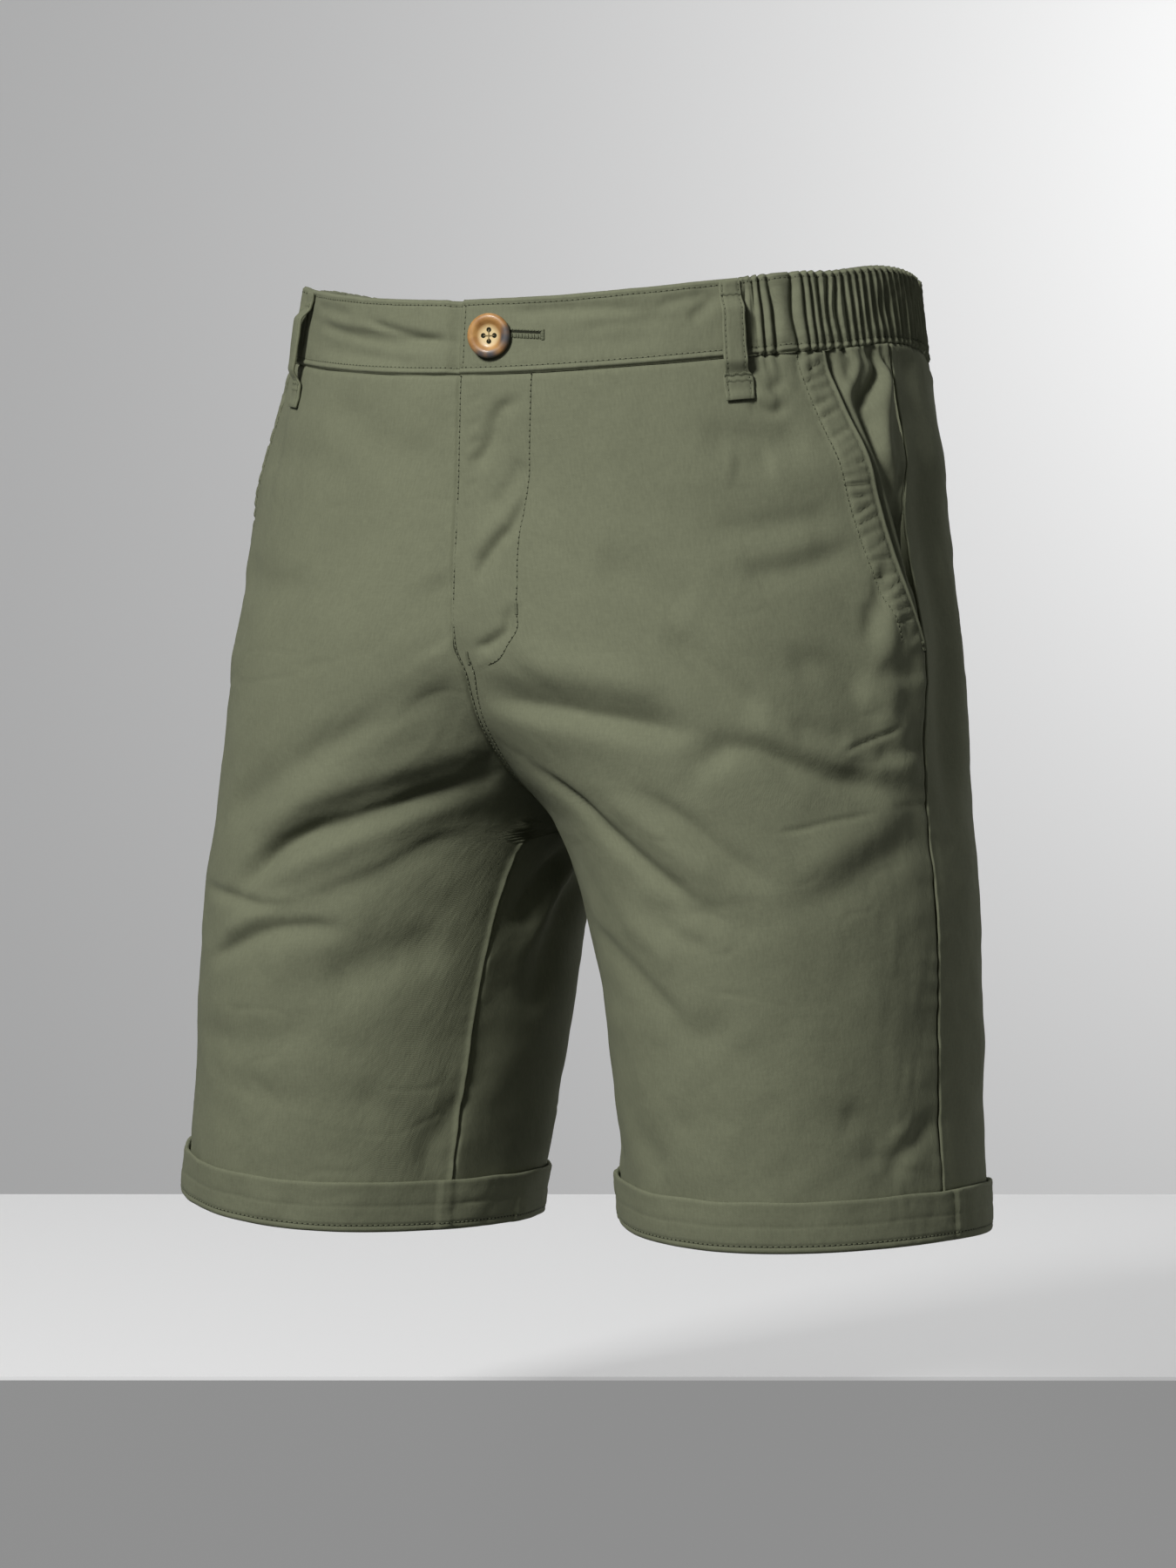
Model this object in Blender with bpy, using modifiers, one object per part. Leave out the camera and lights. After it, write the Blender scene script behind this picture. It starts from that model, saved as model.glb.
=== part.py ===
"""Olive twill chino shorts, filled out and held at the waist.

Metres, +Z up. The wearer faces -Y and the wearer's left is +X. The origin is the middle of the
waist ring, half way up the waistband. A place on the cloth is given by a side (+1 left, -1 right),
a turn round that half (0 at the front, 90 degrees at the outer side, 180 at the back, -90 at the
inner leg) and a height. Every piece is a wall made from such places, moved out along the normal.
"""
import math

import bmesh
import bpy
from mathutils import Matrix, Vector

for old in list(bpy.data.objects):
    bpy.data.objects.remove(old, do_unlink=True)

# ---------------------------------------------------------------- driving dimensions (metres)
CLOTH = 0.0012            # one ply of the outer cloth
GAP = 0.0003              # clearance between neighbouring pieces
BAND_HALF = 0.018         # half of the waistband's height
BAND_OUT = 0.0006         # how far the waistband stands out from the panels below it
BAND_WALL = 0.0024        # the waistband's folded cloth
CROTCH = -0.238           # height of the fork
HEM = -0.437              # finished lower edge of the cuffs
CUFF_TALL = 0.024
CUFF_FACE = 0.0009        # the cuff's inner face, clear of the panel's facets
CUFF_OUT = 0.0028         # how far the turned-up cuff stands out
CUFF_LIP = 0.0022         # cloth folded under the panel's lower end

LOOP_WIDE = 0.013
LOOP_LONG = 0.058
LOOP_WALL = 0.0016
LOOP_FOOT_OUT = 0.0005    # the strap's foot rides a little clear of the panel's facets
LOOP_ARCH = 0.0068        # the loop's inner face, out from the panel, where a belt passes
FRONT_LOOP_TURN = 47.5
SIDE_LOOP_TURN = 130.0
ELASTIC_TURN = 50.0       # where the flat front band meets the gathered back band

FLY_WIDE = 0.040
FLY_ROWS = 5              # the fly's strips run down as far as the fifth row of the panels
FLY_TOP_GAP = 0.0006
FLY_LAP = 0.004           # how far the left band's end passes the centre line
UNDERLAP = 0.034          # how far the right band runs on behind the left one

MOUTH_TOP_TURN = 67.0     # the slant pocket's mouth at the waist seam
MOUTH_CURVE = 1.35        # how far the mouth bends: 1 is straight
MOUTH_FOOT = -0.160       # where the mouth meets the side seam
FACING_UNDER = 6.0        # degrees of hip facing hidden under the mouth's edge
FACING_ROWS = 6           # the facing runs down as far as the sixth row of the panels
FACING_SUNK = 0.0020      # how far the hidden edge lies under the front panel's face
BAG_INNER_TURN = 22.0
BAG_FOOT = -0.205

BUTTON_WIDE = 0.021
BUTTON_THICK = 0.0036
BUTTON_X = 0.013
BUTTON_Z = 0.0004
HOLE_CIRCLE = 0.0028      # radius on which the four holes are drilled
HOLE_RADIUS = 0.0011
HOLE_LONG = 0.027
HOLE_TALL = 0.0042
THREAD_RADIUS = 0.0015

# Half of the garment, section by section: the height, how far the half's centre stands from the
# middle (as a share of its width), and its width, forward shift and depth.
SECTIONS = [
    # height, apart, width, ahead, depth
    (0.018, 0.00, 0.1575, -0.010, 0.137),
    (-0.018, 0.00, 0.1637, -0.008, 0.138),
    (-0.047, 0.00, 0.1722, -0.003, 0.1345),
    (-0.078, 0.00, 0.1808, 0.002, 0.131),
    (-0.134, 0.11, 0.1702, 0.005, 0.133),
    (-0.180, 0.43, 0.135, 0.007, 0.128),
    (-0.214, 0.77, 0.1098, 0.009, 0.120),
    (CROTCH, 1.00, 0.0985, 0.010, 0.115),
    (-0.285, 1.21, 0.092, 0.013, 0.110),
    (-0.340, 1.34, 0.088, 0.015, 0.107),
    (-0.395, 1.43, 0.086, 0.018, 0.102),
    (HEM, 1.48, 0.086, 0.021, 0.097),
]
APART, WIDTH, AHEAD, DEPTH = 1, 2, 3, 4

# The edges are not level: the waist dips at the front and more at the back, and each hem rises at
# its sides, the right one more at the outer side and the left one at the inner side.
WAIST_BACK_DROP = 0.012
WAIST_SIDE_RISE = 0.020
WAIST_FRONT_DROP = 0.0025
WAIST_FRONT_DROP_TURNS = (66.0, 22.0)    # full as far as the first, gone over the second
HEM_SIDES_RISE = 0.0055
HEM_RIGHT_TILT = 0.0085
HEM_LEFT_TILT = -0.0035

SIDE_SEAM_TOP, SIDE_SEAM_HIP, SIDE_SEAM_HEM = 85.5, 82.5, 80.3
SIDE_SEAM_HIP_FROM, SIDE_SEAM_HIP_TO = -0.050, -0.130
INSEAM_THIGH, INSEAM_HEM = -67.0, -63.0
INSEAM_SWING = 0.024      # drop below the fork in which the inseam swings forward

# The largest folds: troughs (minus) and ridges, each along a line from one place to another.
FOLDS = [
    # side, from turn, from height, to turn, to height, half width, depth
    (-1, -45, -0.198, 18, -0.268, 0.013, -0.006),
    (-1, -46, -0.216, 14, -0.281, 0.012, 0.003),
    (-1, -56, -0.230, 39, -0.277, 0.012, -0.005),
    (-1, -26, -0.287, 33, -0.304, 0.014, -0.004),
    (-1, -50, -0.292, -4, -0.317, 0.014, -0.003),
    (-1, 95, -0.190, 205, -0.234, 0.016, -0.006),
    (-1, 110, -0.252, 235, -0.268, 0.015, -0.005),
    (-1, 120, -0.318, 215, -0.300, 0.016, -0.003),
    (1, -18, -0.172, 30, -0.184, 0.013, -0.004),
    (1, -31, -0.222, 11, -0.270, 0.013, -0.005),
    (1, 3, -0.216, 32, -0.260, 0.012, -0.004),
    (1, 30, -0.200, 66, -0.213, 0.012, -0.004),
    (1, 72, -0.236, 35, -0.272, 0.013, -0.004),
    (1, -29, -0.286, 2, -0.328, 0.014, -0.004),
    (1, 150, -0.206, 205, -0.232, 0.016, -0.006),
    (1, 155, -0.258, 240, -0.252, 0.015, -0.005),
    (1, 150, -0.324, 205, -0.296, 0.016, -0.003),
]

BODY_ROWS = 12            # rows of facets from the waist seam to the fork
LEG_ROWS = 9              # and from the fork to the hem
PANEL_ROWS = BODY_ROWS + LEG_ROWS
FRONT_COLUMNS = 14
BACK_COLUMNS = 16


# ---------------------------------------------------------------- the form that all pieces share
def ease(value):
    """0 to 1 with a soft start and end."""
    value = min(max(value, 0.0), 1.0)
    return value * value * (3 - 2 * value)


def mix(start, end, share):
    return start + (end - start) * share


def section_value(height, column):
    """One column of SECTIONS at any height, on a smooth curve that never overshoots a row."""
    rows = SECTIONS
    height = min(max(height, rows[-1][0]), rows[0][0])
    last = len(rows) - 2
    step = next((i for i in range(last + 1) if height >= rows[i + 1][0]), last)

    def grade(i):
        return (rows[i + 1][column] - rows[i][column]) / (rows[i + 1][0] - rows[i][0])

    def slope(i):
        if i == 0 or i == last + 1:
            return grade(min(i, last))
        before, after = grade(i - 1), grade(i)
        return 0.0 if before * after <= 0 else 2 * before * after / (before + after)

    span = rows[step + 1][0] - rows[step][0]
    s = (height - rows[step][0]) / span
    start, end = rows[step][column], rows[step + 1][column]
    return (
        (2 * s**3 - 3 * s**2 + 1) * start + (s**3 - 2 * s**2 + s) * span * slope(step)
        + (3 * s**2 - 2 * s**3) * end + (s**3 - s**2) * span * slope(step + 1)
    )


def edge_lift(side, turn, height):
    """How far a place is raised or lowered, because the waist and the hem are not level."""
    angle = math.radians(turn)
    near_waist = min(max((height - CROTCH) / (BAND_HALF - CROTCH), 0.0), 1.0)
    near_hem = min(max((CROTCH - height) / (CROTCH - HEM), 0.0), 1.0)
    waist = WAIST_SIDE_RISE * (1 - math.cos(2 * angle)) / 2 - WAIST_BACK_DROP * (1 - math.cos(angle)) / 2
    full, fade = WAIST_FRONT_DROP_TURNS
    from_front = abs((turn + 180.0) % 360.0 - 180.0)
    waist -= WAIST_FRONT_DROP * (1.0 - ease((from_front - full) / fade))
    tilt = HEM_LEFT_TILT if side > 0 else HEM_RIGHT_TILT
    hem = HEM_SIDES_RISE * math.sin(angle) ** 2 + tilt * math.sin(angle)
    return near_waist * waist + near_hem * hem


def fold_out(side, turn, height):
    """How far the large folds move a place out or in; they taper off past each end."""
    radius = (section_value(height, WIDTH) + section_value(height, DEPTH)) / 2
    total = 0.0
    for fold_side, turn_a, height_a, turn_b, height_b, half_width, depth in FOLDS:
        if fold_side != side:
            continue
        start = Vector((math.radians(turn_a) * radius, height_a))
        run = Vector((math.radians(turn_b) * radius, height_b)) - start
        for wrap in (0, -360):
            place = Vector((math.radians(turn + wrap) * radius, height)) - start
            along = place.dot(run) / run.dot(run)
            if not -0.2 < along < 1.2:
                continue
            across = (place - run * along).length / half_width
            taper = ease((along + 0.2) / 0.35) * ease((1.2 - along) / 0.35)
            total += depth * taper * math.exp(-across * across)
    return total


def bare_place(side, turn, height):
    """A place on the smooth form, before the folds."""
    angle = math.radians(turn)
    width = section_value(height, WIDTH)
    across = section_value(height, APART) * width + width * math.sin(angle)
    back = -section_value(height, AHEAD) - section_value(height, DEPTH) * math.cos(angle)
    return Vector((side * across, back, height + edge_lift(side, turn, height)))


def cloth_place(side, turn, height, out=0.0):
    """A place on the panels' outer face, moved out along the normal."""
    here = bare_place(side, turn, height)
    round_it = bare_place(side, turn + 1.0, height) - bare_place(side, turn - 1.0, height)
    up_it = bare_place(side, turn, height + 0.002) - bare_place(side, turn, height - 0.002)
    normal = (round_it.cross(up_it) * side).normalized()
    return here + normal * (out + fold_out(side, turn, height) * seam_hold(here.x))


def seam_hold(x):
    """The folds die away at the middle seam, which holds the cloth and joins the two halves."""
    return ease(abs(x) / 0.012)


def gap_turn(side, turn, height):
    """Half a seam's clearance, as degrees of turn."""
    one_degree = (bare_place(side, turn + 0.5, height) - bare_place(side, turn - 0.5, height)).length
    return GAP / 2 / one_degree


# ---------------------------------------------------------------- seam lines, as turns at a height
def side_seam(height):
    at_hip = ease((SIDE_SEAM_HIP_FROM - height) / (SIDE_SEAM_HIP_FROM - SIDE_SEAM_HIP_TO))
    down_leg = ease((CROTCH - height) / (CROTCH - HEM))
    return mix(mix(SIDE_SEAM_TOP, SIDE_SEAM_HIP, at_hip), SIDE_SEAM_HEM, down_leg)


def middle_turn(height):
    """The turn, from the front, at which a half comes within half a gap of the middle plane."""
    apart = min(section_value(height, APART), 1.0)
    return math.degrees(math.asin(apart - GAP / 2 / section_value(height, WIDTH)))


def inseam(height):
    """The turn of the inseam, which swings forward as it leaves the fork."""
    below = CROTCH - height
    thigh = mix(-90.0, INSEAM_THIGH, ease(below / INSEAM_SWING))
    return thigh + (INSEAM_HEM - INSEAM_THIGH) * below / (CROTCH - HEM)


def pocket_mouth(height):
    """The slant edge of the pocket, from the waist seam down to the side seam."""
    share = (-BAND_HALF - height) / (-BAND_HALF - MOUTH_FOOT)
    return mix(MOUTH_TOP_TURN, side_seam(height), min(max(share, 0.0), 1.0) ** MOUTH_CURVE)


# ---------------------------------------------------------------- materials and mesh makers
def finish(name, colour, roughness, metallic=0.0):
    material = bpy.data.materials.new(name)
    material.use_nodes = True
    shader = material.node_tree.nodes["Principled BSDF"]
    shader.inputs["Base Color"].default_value = (*colour, 1.0)
    shader.inputs["Roughness"].default_value = roughness
    shader.inputs["Metallic"].default_value = metallic
    return material


TWILL = finish("olive_twill", (0.185, 0.200, 0.125), 0.9)
TWILL_SHADE = finish("olive_twill_inner", (0.130, 0.140, 0.088), 0.92)
POCKETING = finish("pocket_cotton", (0.260, 0.265, 0.200), 0.9)
TAPE = finish("zip_tape", (0.120, 0.130, 0.080), 0.8)
HORN = finish("horn_button", (0.480, 0.300, 0.120), 0.35)
THREAD = finish("olive_thread", (0.160, 0.170, 0.105), 0.8)

shorts = bpy.data.collections.new("chino_shorts")
cutters = bpy.data.collections.new("cutters")
bpy.context.scene.collection.children.link(shorts)
bpy.context.scene.collection.children.link(cutters)


def add_object(name, mesh, material, collection=shorts):
    mesh.materials.append(material)
    piece = bpy.data.objects.new(name, mesh)
    collection.objects.link(piece)
    return piece


def close_mesh(name, vertices, faces, material):
    """Make the object, with every face turned outward."""
    mesh = bpy.data.meshes.new(name)
    mesh.from_pydata(vertices, [], faces)
    work = bmesh.new()
    work.from_mesh(mesh)
    bmesh.ops.recalc_face_normals(work, faces=work.faces)
    work.to_mesh(mesh)
    work.free()
    mesh.shade_smooth()
    mesh.set_sharp_from_angle(angle=math.radians(40))
    return add_object(name, mesh, material)


def wall(name, material, place, rows, columns, outer, inner):
    """A cloth wall: an outer and an inner skin of place(row, column, out), joined at their edges."""
    skins = [[place(r / rows, c / columns, out) for r in range(rows + 1) for c in range(columns + 1)]
             for out in (outer, inner)]
    vertices = skins[0] + skins[1]
    across, layer = columns + 1, (rows + 1) * (columns + 1)
    faces = []
    for r in range(rows):
        for c in range(columns):
            corner = r * across + c
            quad = (corner, corner + 1, corner + 1 + across, corner + across)
            faces.append(quad)
            faces.append(tuple(i + layer for i in reversed(quad)))
    rim = [c for c in range(columns)]
    rim += [r * across + columns for r in range(rows)]
    rim += [rows * across + c for c in range(columns, 0, -1)]
    rim += [r * across for r in range(rows, 0, -1)]
    for here, there in zip(rim, rim[1:] + rim[:1]):
        faces.append((here, there, there + layer, here + layer))
    return close_mesh(name, vertices, faces, material)


def swept_ring(name, material, place, columns, section):
    """A closed ring: a section of (out, up) points carried round by place(share, out, up)."""
    vertices = [place(c / columns, out, up) for c in range(columns) for out, up in section]
    count = len(section)
    faces = []
    for c in range(columns):
        here, there = c * count, (c + 1) % columns * count
        for k in range(count):
            after = (k + 1) % count
            faces.append((here + k, there + k, there + after, here + after))
    return close_mesh(name, vertices, faces, material)


SIDES = [("left", 1), ("right", -1)]


# ---------------------------------------------------------------- front and back panels
def panel_height(share):
    """Rows crowd towards the fork, where the form turns fastest."""
    top, foot = -BAND_HALF - GAP / 2, HEM + CUFF_LIP + GAP
    fork_share = BODY_ROWS / PANEL_ROWS
    if share <= fork_share:
        return mix(CROTCH, top, (1 - share / fork_share) ** 1.6)
    return mix(CROTCH, foot, ((share - fork_share) / (1 - fork_share)) ** 1.3)


def front_outer_edge(height):
    return pocket_mouth(height) if height > MOUTH_FOOT else side_seam(height)


def front_panel(side):
    def place(down, across, out):
        height = panel_height(down)
        if height >= CROTCH:
            inner = -middle_turn(height)
        else:
            inner = inseam(height) + gap_turn(side, inseam(height), height)
        outer = front_outer_edge(height)
        outer -= gap_turn(side, outer, height)
        return cloth_place(side, mix(inner, outer, across), height, out)
    return place


def back_panel(side):
    def place(down, across, out):
        height = panel_height(down)
        outer = side_seam(height)
        outer += gap_turn(side, outer, height)
        if height >= CROTCH:
            inner = 180 + middle_turn(height)
        else:
            inner = 360 + inseam(height) - gap_turn(side, inseam(height), height)
        return cloth_place(side, mix(outer, inner, across), height, out)
    return place


for word, side in SIDES:
    wall(f"front_{word}", TWILL, front_panel(side), PANEL_ROWS, FRONT_COLUMNS, 0.0, -CLOTH)
    wall(f"back_{word}", TWILL, back_panel(side), PANEL_ROWS, BACK_COLUMNS, 0.0, -CLOTH)


# ---------------------------------------------------------------- slant pockets: facing and bag
def hip_facing(side):
    def place(down, across, out):
        height = panel_height(down * FACING_ROWS / PANEL_ROWS)
        mouth = pocket_mouth(height)
        seam = side_seam(height)
        turn = mix(mouth - FACING_UNDER, seam - gap_turn(side, seam, height), across)
        sunk = 1 - ease((turn - mouth - 1.5) / 5.0)
        return cloth_place(side, turn, height, out - FACING_SUNK * sunk)
    return place


def pocket_bag(side):
    def place(down, across, out):
        turn = mix(BAG_INNER_TURN, SIDE_SEAM_HIP - 0.5, across)
        foot = mix(BAG_FOOT + 0.050, BAG_FOOT, ease(across / 0.35))
        height = mix(-BAND_HALF - GAP / 2, foot, down)
        slack = 0.006 * math.sin(math.pi * down) * math.sin(math.pi * across)
        turn = min(turn, side_seam(height) - gap_turn(side, turn, height) - 0.2)
        return cloth_place(side, turn, height, out - slack)
    return place


FACING_BACK = -(FACING_SUNK + CLOTH)
for word, side in SIDES:
    wall(f"hip_facing_{word}", TWILL_SHADE, hip_facing(side), FACING_ROWS, 6, 0.0, -CLOTH)
    bag_face = FACING_BACK - GAP
    wall(f"pocket_bag_{word}", POCKETING, pocket_bag(side), 6, 7, bag_face, bag_face - 0.001)


# ---------------------------------------------------------------- fly: zip and shield behind it
def fly_place(left_edge, right_edge):
    """A strip behind the fly, between two distances from the middle; out is straight forward."""
    def place(down, across, out):
        x = mix(left_edge, right_edge, across)
        height = panel_height(down * FLY_ROWS / PANEL_ROWS) - FLY_TOP_GAP * (down == 0)
        side = 1 if x >= 0 else -1
        width = section_value(height, WIDTH)
        turn = math.degrees(math.asin(abs(x) / width - section_value(height, APART)))
        out += fold_out(side, turn, height) * seam_hold(x)
        return bare_place(side, turn, height) - Vector((0, out, 0))
    return place


ZIP_FACE = -(CLOTH + GAP + 0.0004)
ZIP_WALL = 0.0010
SHIELD_FACE = ZIP_FACE - ZIP_WALL - GAP
wall("fly_zip", TAPE, fly_place(-0.010, 0.020), FLY_ROWS, 6, ZIP_FACE, ZIP_FACE - ZIP_WALL)
wall("fly_shield", TWILL_SHADE, fly_place(-0.010, FLY_WIDE), FLY_ROWS, 10, SHIELD_FACE,
     SHIELD_FACE - CLOTH)


# ---------------------------------------------------------------- waistband
BAND_FOOT = -BAND_HALF + GAP / 2
BAND_RADIUS = SECTIONS[0][WIDTH]
UNDERLAP_DROP = BAND_WALL + GAP
UNDERLAP_STEP_FROM = -0.017
UNDERLAP_STEP_TO = -FLY_LAP - 0.0012


def turn_at_x(x):
    return math.degrees(math.asin(x / BAND_RADIUS))


def band_place(from_turn, to_turn, shape=None):
    def place(down, across, out):
        turn = mix(from_turn, to_turn, across)
        extra = shape(turn, across, down) if shape else 0.0
        return cloth_place(1, turn, mix(BAND_HALF, BAND_FOOT, down), out + extra)
    return place


def underlap_step(turn, across, down):
    """The right band sinks behind the left one just before the middle."""
    reach = turn_at_x(UNDERLAP_STEP_FROM)
    rest = turn_at_x(UNDERLAP_STEP_TO)
    return -UNDERLAP_DROP * ease((turn - reach) / (rest - reach))


GATHERS = 38
GATHER_DEEP = 0.0008


def gathers(turn, across, down):
    """Upright pleats of the elastic, uneven in depth and level at the ends."""
    number = across * GATHERS
    ends = ease(min(across, 1 - across) / 0.015)
    uneven = 0.65 + 0.35 * math.sin(1.7 * number)
    return GATHER_DEEP * ends * uneven * math.cos(2 * math.pi * number)


BAND_BACK = BAND_OUT - BAND_WALL
lap_turn = turn_at_x(-FLY_LAP)
joint_gap = gap_turn(1, ELASTIC_TURN, 0.0)
left_band = wall("waistband_front_left", TWILL, band_place(lap_turn, ELASTIC_TURN - joint_gap),
                 1, 10, BAND_OUT, BAND_BACK)
wall("waistband_front_right", TWILL,
     band_place(-ELASTIC_TURN + joint_gap, turn_at_x(UNDERLAP), underlap_step),
     1, 26, BAND_OUT, BAND_BACK)
wall("waistband_back", TWILL,
     band_place(ELASTIC_TURN + joint_gap, 360 - ELASTIC_TURN - joint_gap, gathers),
     1, 2 * GATHERS, BAND_OUT, BAND_BACK)

# The buttonhole is a slot through the left band, long enough for the thread and the button's turn.
hole_mesh = bpy.data.meshes.new("buttonhole_cutter")
hole = bmesh.new()
bmesh.ops.create_cube(hole, size=1.0, matrix=Matrix.Diagonal((HOLE_LONG, 0.012, HOLE_TALL, 1.0)))
hole.to_mesh(hole_mesh)
hole.free()
hole_cutter = add_object("buttonhole_cutter", hole_mesh, THREAD, cutters)
button_turn = turn_at_x(BUTTON_X)
band_front = cloth_place(1, button_turn, BUTTON_Z)
hole_start = BUTTON_X - THREAD_RADIUS - 0.0009
hole_cutter.location = (hole_start + HOLE_LONG / 2, band_front.y, band_front.z)
hole_cutter.hide_render = True
hole_cutter.display_type = "WIRE"
cut = left_band.modifiers.new("buttonhole", "BOOLEAN")
cut.operation = "DIFFERENCE"
cut.solver = "EXACT"
cut.object = hole_cutter


# ---------------------------------------------------------------- belt loops
LOOP_TOP_DOWN = 0.001     # the loop's sewn top, below the band's top edge
LOOP_SEWN = 0.007         # how much of each end lies flat under its stitches
LOOP_RAMP = 0.007         # and how far along it rises to its arch


def belt_loop(turn_centre):
    """A strap sewn down at its top and foot, arched clear of the band between them."""
    on_flat_band = min(turn_centre, 360 - turn_centre) < ELASTIC_TURN
    seat_on_band = BAND_OUT + (0.0002 if on_flat_band else GATHER_DEEP)
    one_degree = (bare_place(1, turn_centre + 0.5, 0) - bare_place(1, turn_centre - 0.5, 0)).length
    side = 1 if turn_centre <= 180 else -1

    def place(down, across, out):
        along = down * LOOP_LONG
        from_foot = LOOP_LONG - along
        lift = ease((along - LOOP_SEWN) / LOOP_RAMP) * ease((from_foot - LOOP_SEWN - 0.004) / LOOP_RAMP)
        seat = mix(seat_on_band, LOOP_FOOT_OUT, ease((along - 2 * BAND_HALF - 0.002) / 0.008))
        height = BAND_HALF - LOOP_TOP_DOWN - along
        turn = turn_centre + (across - 0.5) * LOOP_WIDE / one_degree
        seat_out = seat + GAP + (LOOP_ARCH - seat - GAP) * lift
        return cloth_place(side, turn if side == 1 else 360 - turn, height, out + seat_out)
    return place


LOOPS = [
    ("belt_loop_front_left", FRONT_LOOP_TURN),
    ("belt_loop_side_left", SIDE_LOOP_TURN),
    ("belt_loop_back", 180.0),
    ("belt_loop_side_right", 360 - SIDE_LOOP_TURN),
    ("belt_loop_front_right", 360 - FRONT_LOOP_TURN),
]
for name, turn_centre in LOOPS:
    wall(name, TWILL, belt_loop(turn_centre), 12, 1, LOOP_WALL, 0.0)


# ---------------------------------------------------------------- turned-up cuffs
def cuff_place(side):
    def place(share, out, up):
        return cloth_place(side, -90 + 360 * share, HEM + up, out)
    return place


CUFF_SECTION = [
    # out, up: the outer face, the folded lower lip, and the face against the panel
    (CUFF_OUT - 0.0002, CUFF_TALL),
    (CUFF_OUT, CUFF_TALL / 2),
    (CUFF_OUT, 0.0008),
    (CUFF_OUT - 0.0008, 0.0),
    (-CLOTH, 0.0),
    (-CLOTH, CUFF_LIP),
    (CUFF_FACE, CUFF_LIP),
    (CUFF_FACE, CUFF_TALL),
]
for word, side in SIDES:
    swept_ring(f"cuff_{word}", TWILL, cuff_place(side), 32, CUFF_SECTION)


# ---------------------------------------------------------------- button and its thread
def turned(name, material, profile, steps, placing):
    """A turned piece: a profile of (radius, out) points, from the front's middle round to the back's."""
    mesh = bpy.data.meshes.new(name)
    points = [(radius, 0, out) for radius, out in profile]
    mesh.from_pydata(points, [(i, i + 1) for i in range(len(points) - 1)], [])
    piece = add_object(name, mesh, material)
    spin = piece.modifiers.new("turn", "SCREW")
    spin.axis = "Z"
    spin.steps = steps
    spin.render_steps = steps
    spin.use_merge_vertices = True
    spin.merge_threshold = 0.00005
    piece.matrix_world = placing
    return piece


normal_angle = math.radians(button_turn)
facing_out = Vector((math.sin(normal_angle), -math.cos(normal_angle), 0.0))
button_frame = Matrix.LocRotScale(
    cloth_place(1, button_turn, BUTTON_Z), facing_out.to_track_quat("Z", "Y"), None)
button_back = BAND_OUT + 0.0012
radius = BUTTON_WIDE / 2
button_profile = [
    (0.0, button_back + BUTTON_THICK * 0.55),
    (radius * 0.45, button_back + BUTTON_THICK * 0.58),
    (radius * 0.62, button_back + BUTTON_THICK * 0.80),
    (radius * 0.80, button_back + BUTTON_THICK),
    (radius * 0.93, button_back + BUTTON_THICK * 0.90),
    (radius, button_back + BUTTON_THICK * 0.55),
    (radius * 0.94, button_back + BUTTON_THICK * 0.20),
    (radius * 0.75, button_back),
    (0.0, button_back),
]
button = turned("button", HORN, button_profile, 24, button_frame)

drill = bpy.data.meshes.new("button_holes_cutter")
holes = bmesh.new()
for quarter in range(4):
    angle = math.radians(90 * quarter)
    spot = Vector((math.cos(angle), math.sin(angle), 0)) * HOLE_CIRCLE
    spot.z = button_back + BUTTON_THICK / 2
    bmesh.ops.create_cone(holes, cap_ends=True, segments=8, radius1=HOLE_RADIUS, radius2=HOLE_RADIUS,
                          depth=BUTTON_THICK * 2, matrix=Matrix.Translation(spot))
holes.to_mesh(drill)
holes.free()
holes_cutter = add_object("button_holes_cutter", drill, THREAD, cutters)
holes_cutter.matrix_world = button_frame
holes_cutter.hide_render = True
holes_cutter.display_type = "WIRE"
bore = button.modifiers.new("holes", "BOOLEAN")
bore.operation = "DIFFERENCE"
bore.solver = "EXACT"
bore.object = holes_cutter

thread_back = BAND_OUT - UNDERLAP_DROP + GAP
thread_profile = [
    (0.0, button_back - GAP),
    (THREAD_RADIUS, button_back - GAP),
    (THREAD_RADIUS * 0.9, (thread_back + button_back) / 2),
    (THREAD_RADIUS, thread_back),
    (0.0, thread_back),
]
turned("button_thread", THREAD, thread_profile, 12, button_frame)
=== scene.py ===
import math

import bpy
import numpy as np
from mathutils import Matrix, Vector


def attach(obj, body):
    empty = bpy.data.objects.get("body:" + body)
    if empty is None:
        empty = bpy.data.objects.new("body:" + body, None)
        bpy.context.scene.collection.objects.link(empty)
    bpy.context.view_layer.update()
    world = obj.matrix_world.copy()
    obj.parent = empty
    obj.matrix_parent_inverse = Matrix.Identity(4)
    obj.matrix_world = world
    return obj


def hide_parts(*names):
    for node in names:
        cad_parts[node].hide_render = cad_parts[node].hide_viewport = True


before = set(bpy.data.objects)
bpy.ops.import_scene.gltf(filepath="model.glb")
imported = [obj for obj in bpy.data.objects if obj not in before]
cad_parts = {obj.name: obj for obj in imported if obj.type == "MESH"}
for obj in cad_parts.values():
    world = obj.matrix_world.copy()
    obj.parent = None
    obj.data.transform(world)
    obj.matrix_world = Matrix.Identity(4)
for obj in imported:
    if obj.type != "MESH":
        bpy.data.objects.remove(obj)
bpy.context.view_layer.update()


# ---------------------------------------------------------------- front panels
# Two cotton twill fronts, cut away at the slant pockets and joined down the middle. They are sewn
# from flat cloth, so they hang in soft drag folds from the fork and crumple a little down the legs.
# Lengths are metres; a place is a side (+1 is the wearer's left), a turn in degrees round that half
# (0 front, 90 outer side, 180 back, -90 inner leg) and a height from the middle of the waistband.
PLY = 0.0012
GAP = 0.0003
BAND_HALF = 0.018
FORK = -0.238
HEM = -0.437
CUFF_LIP = 0.0022

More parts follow.
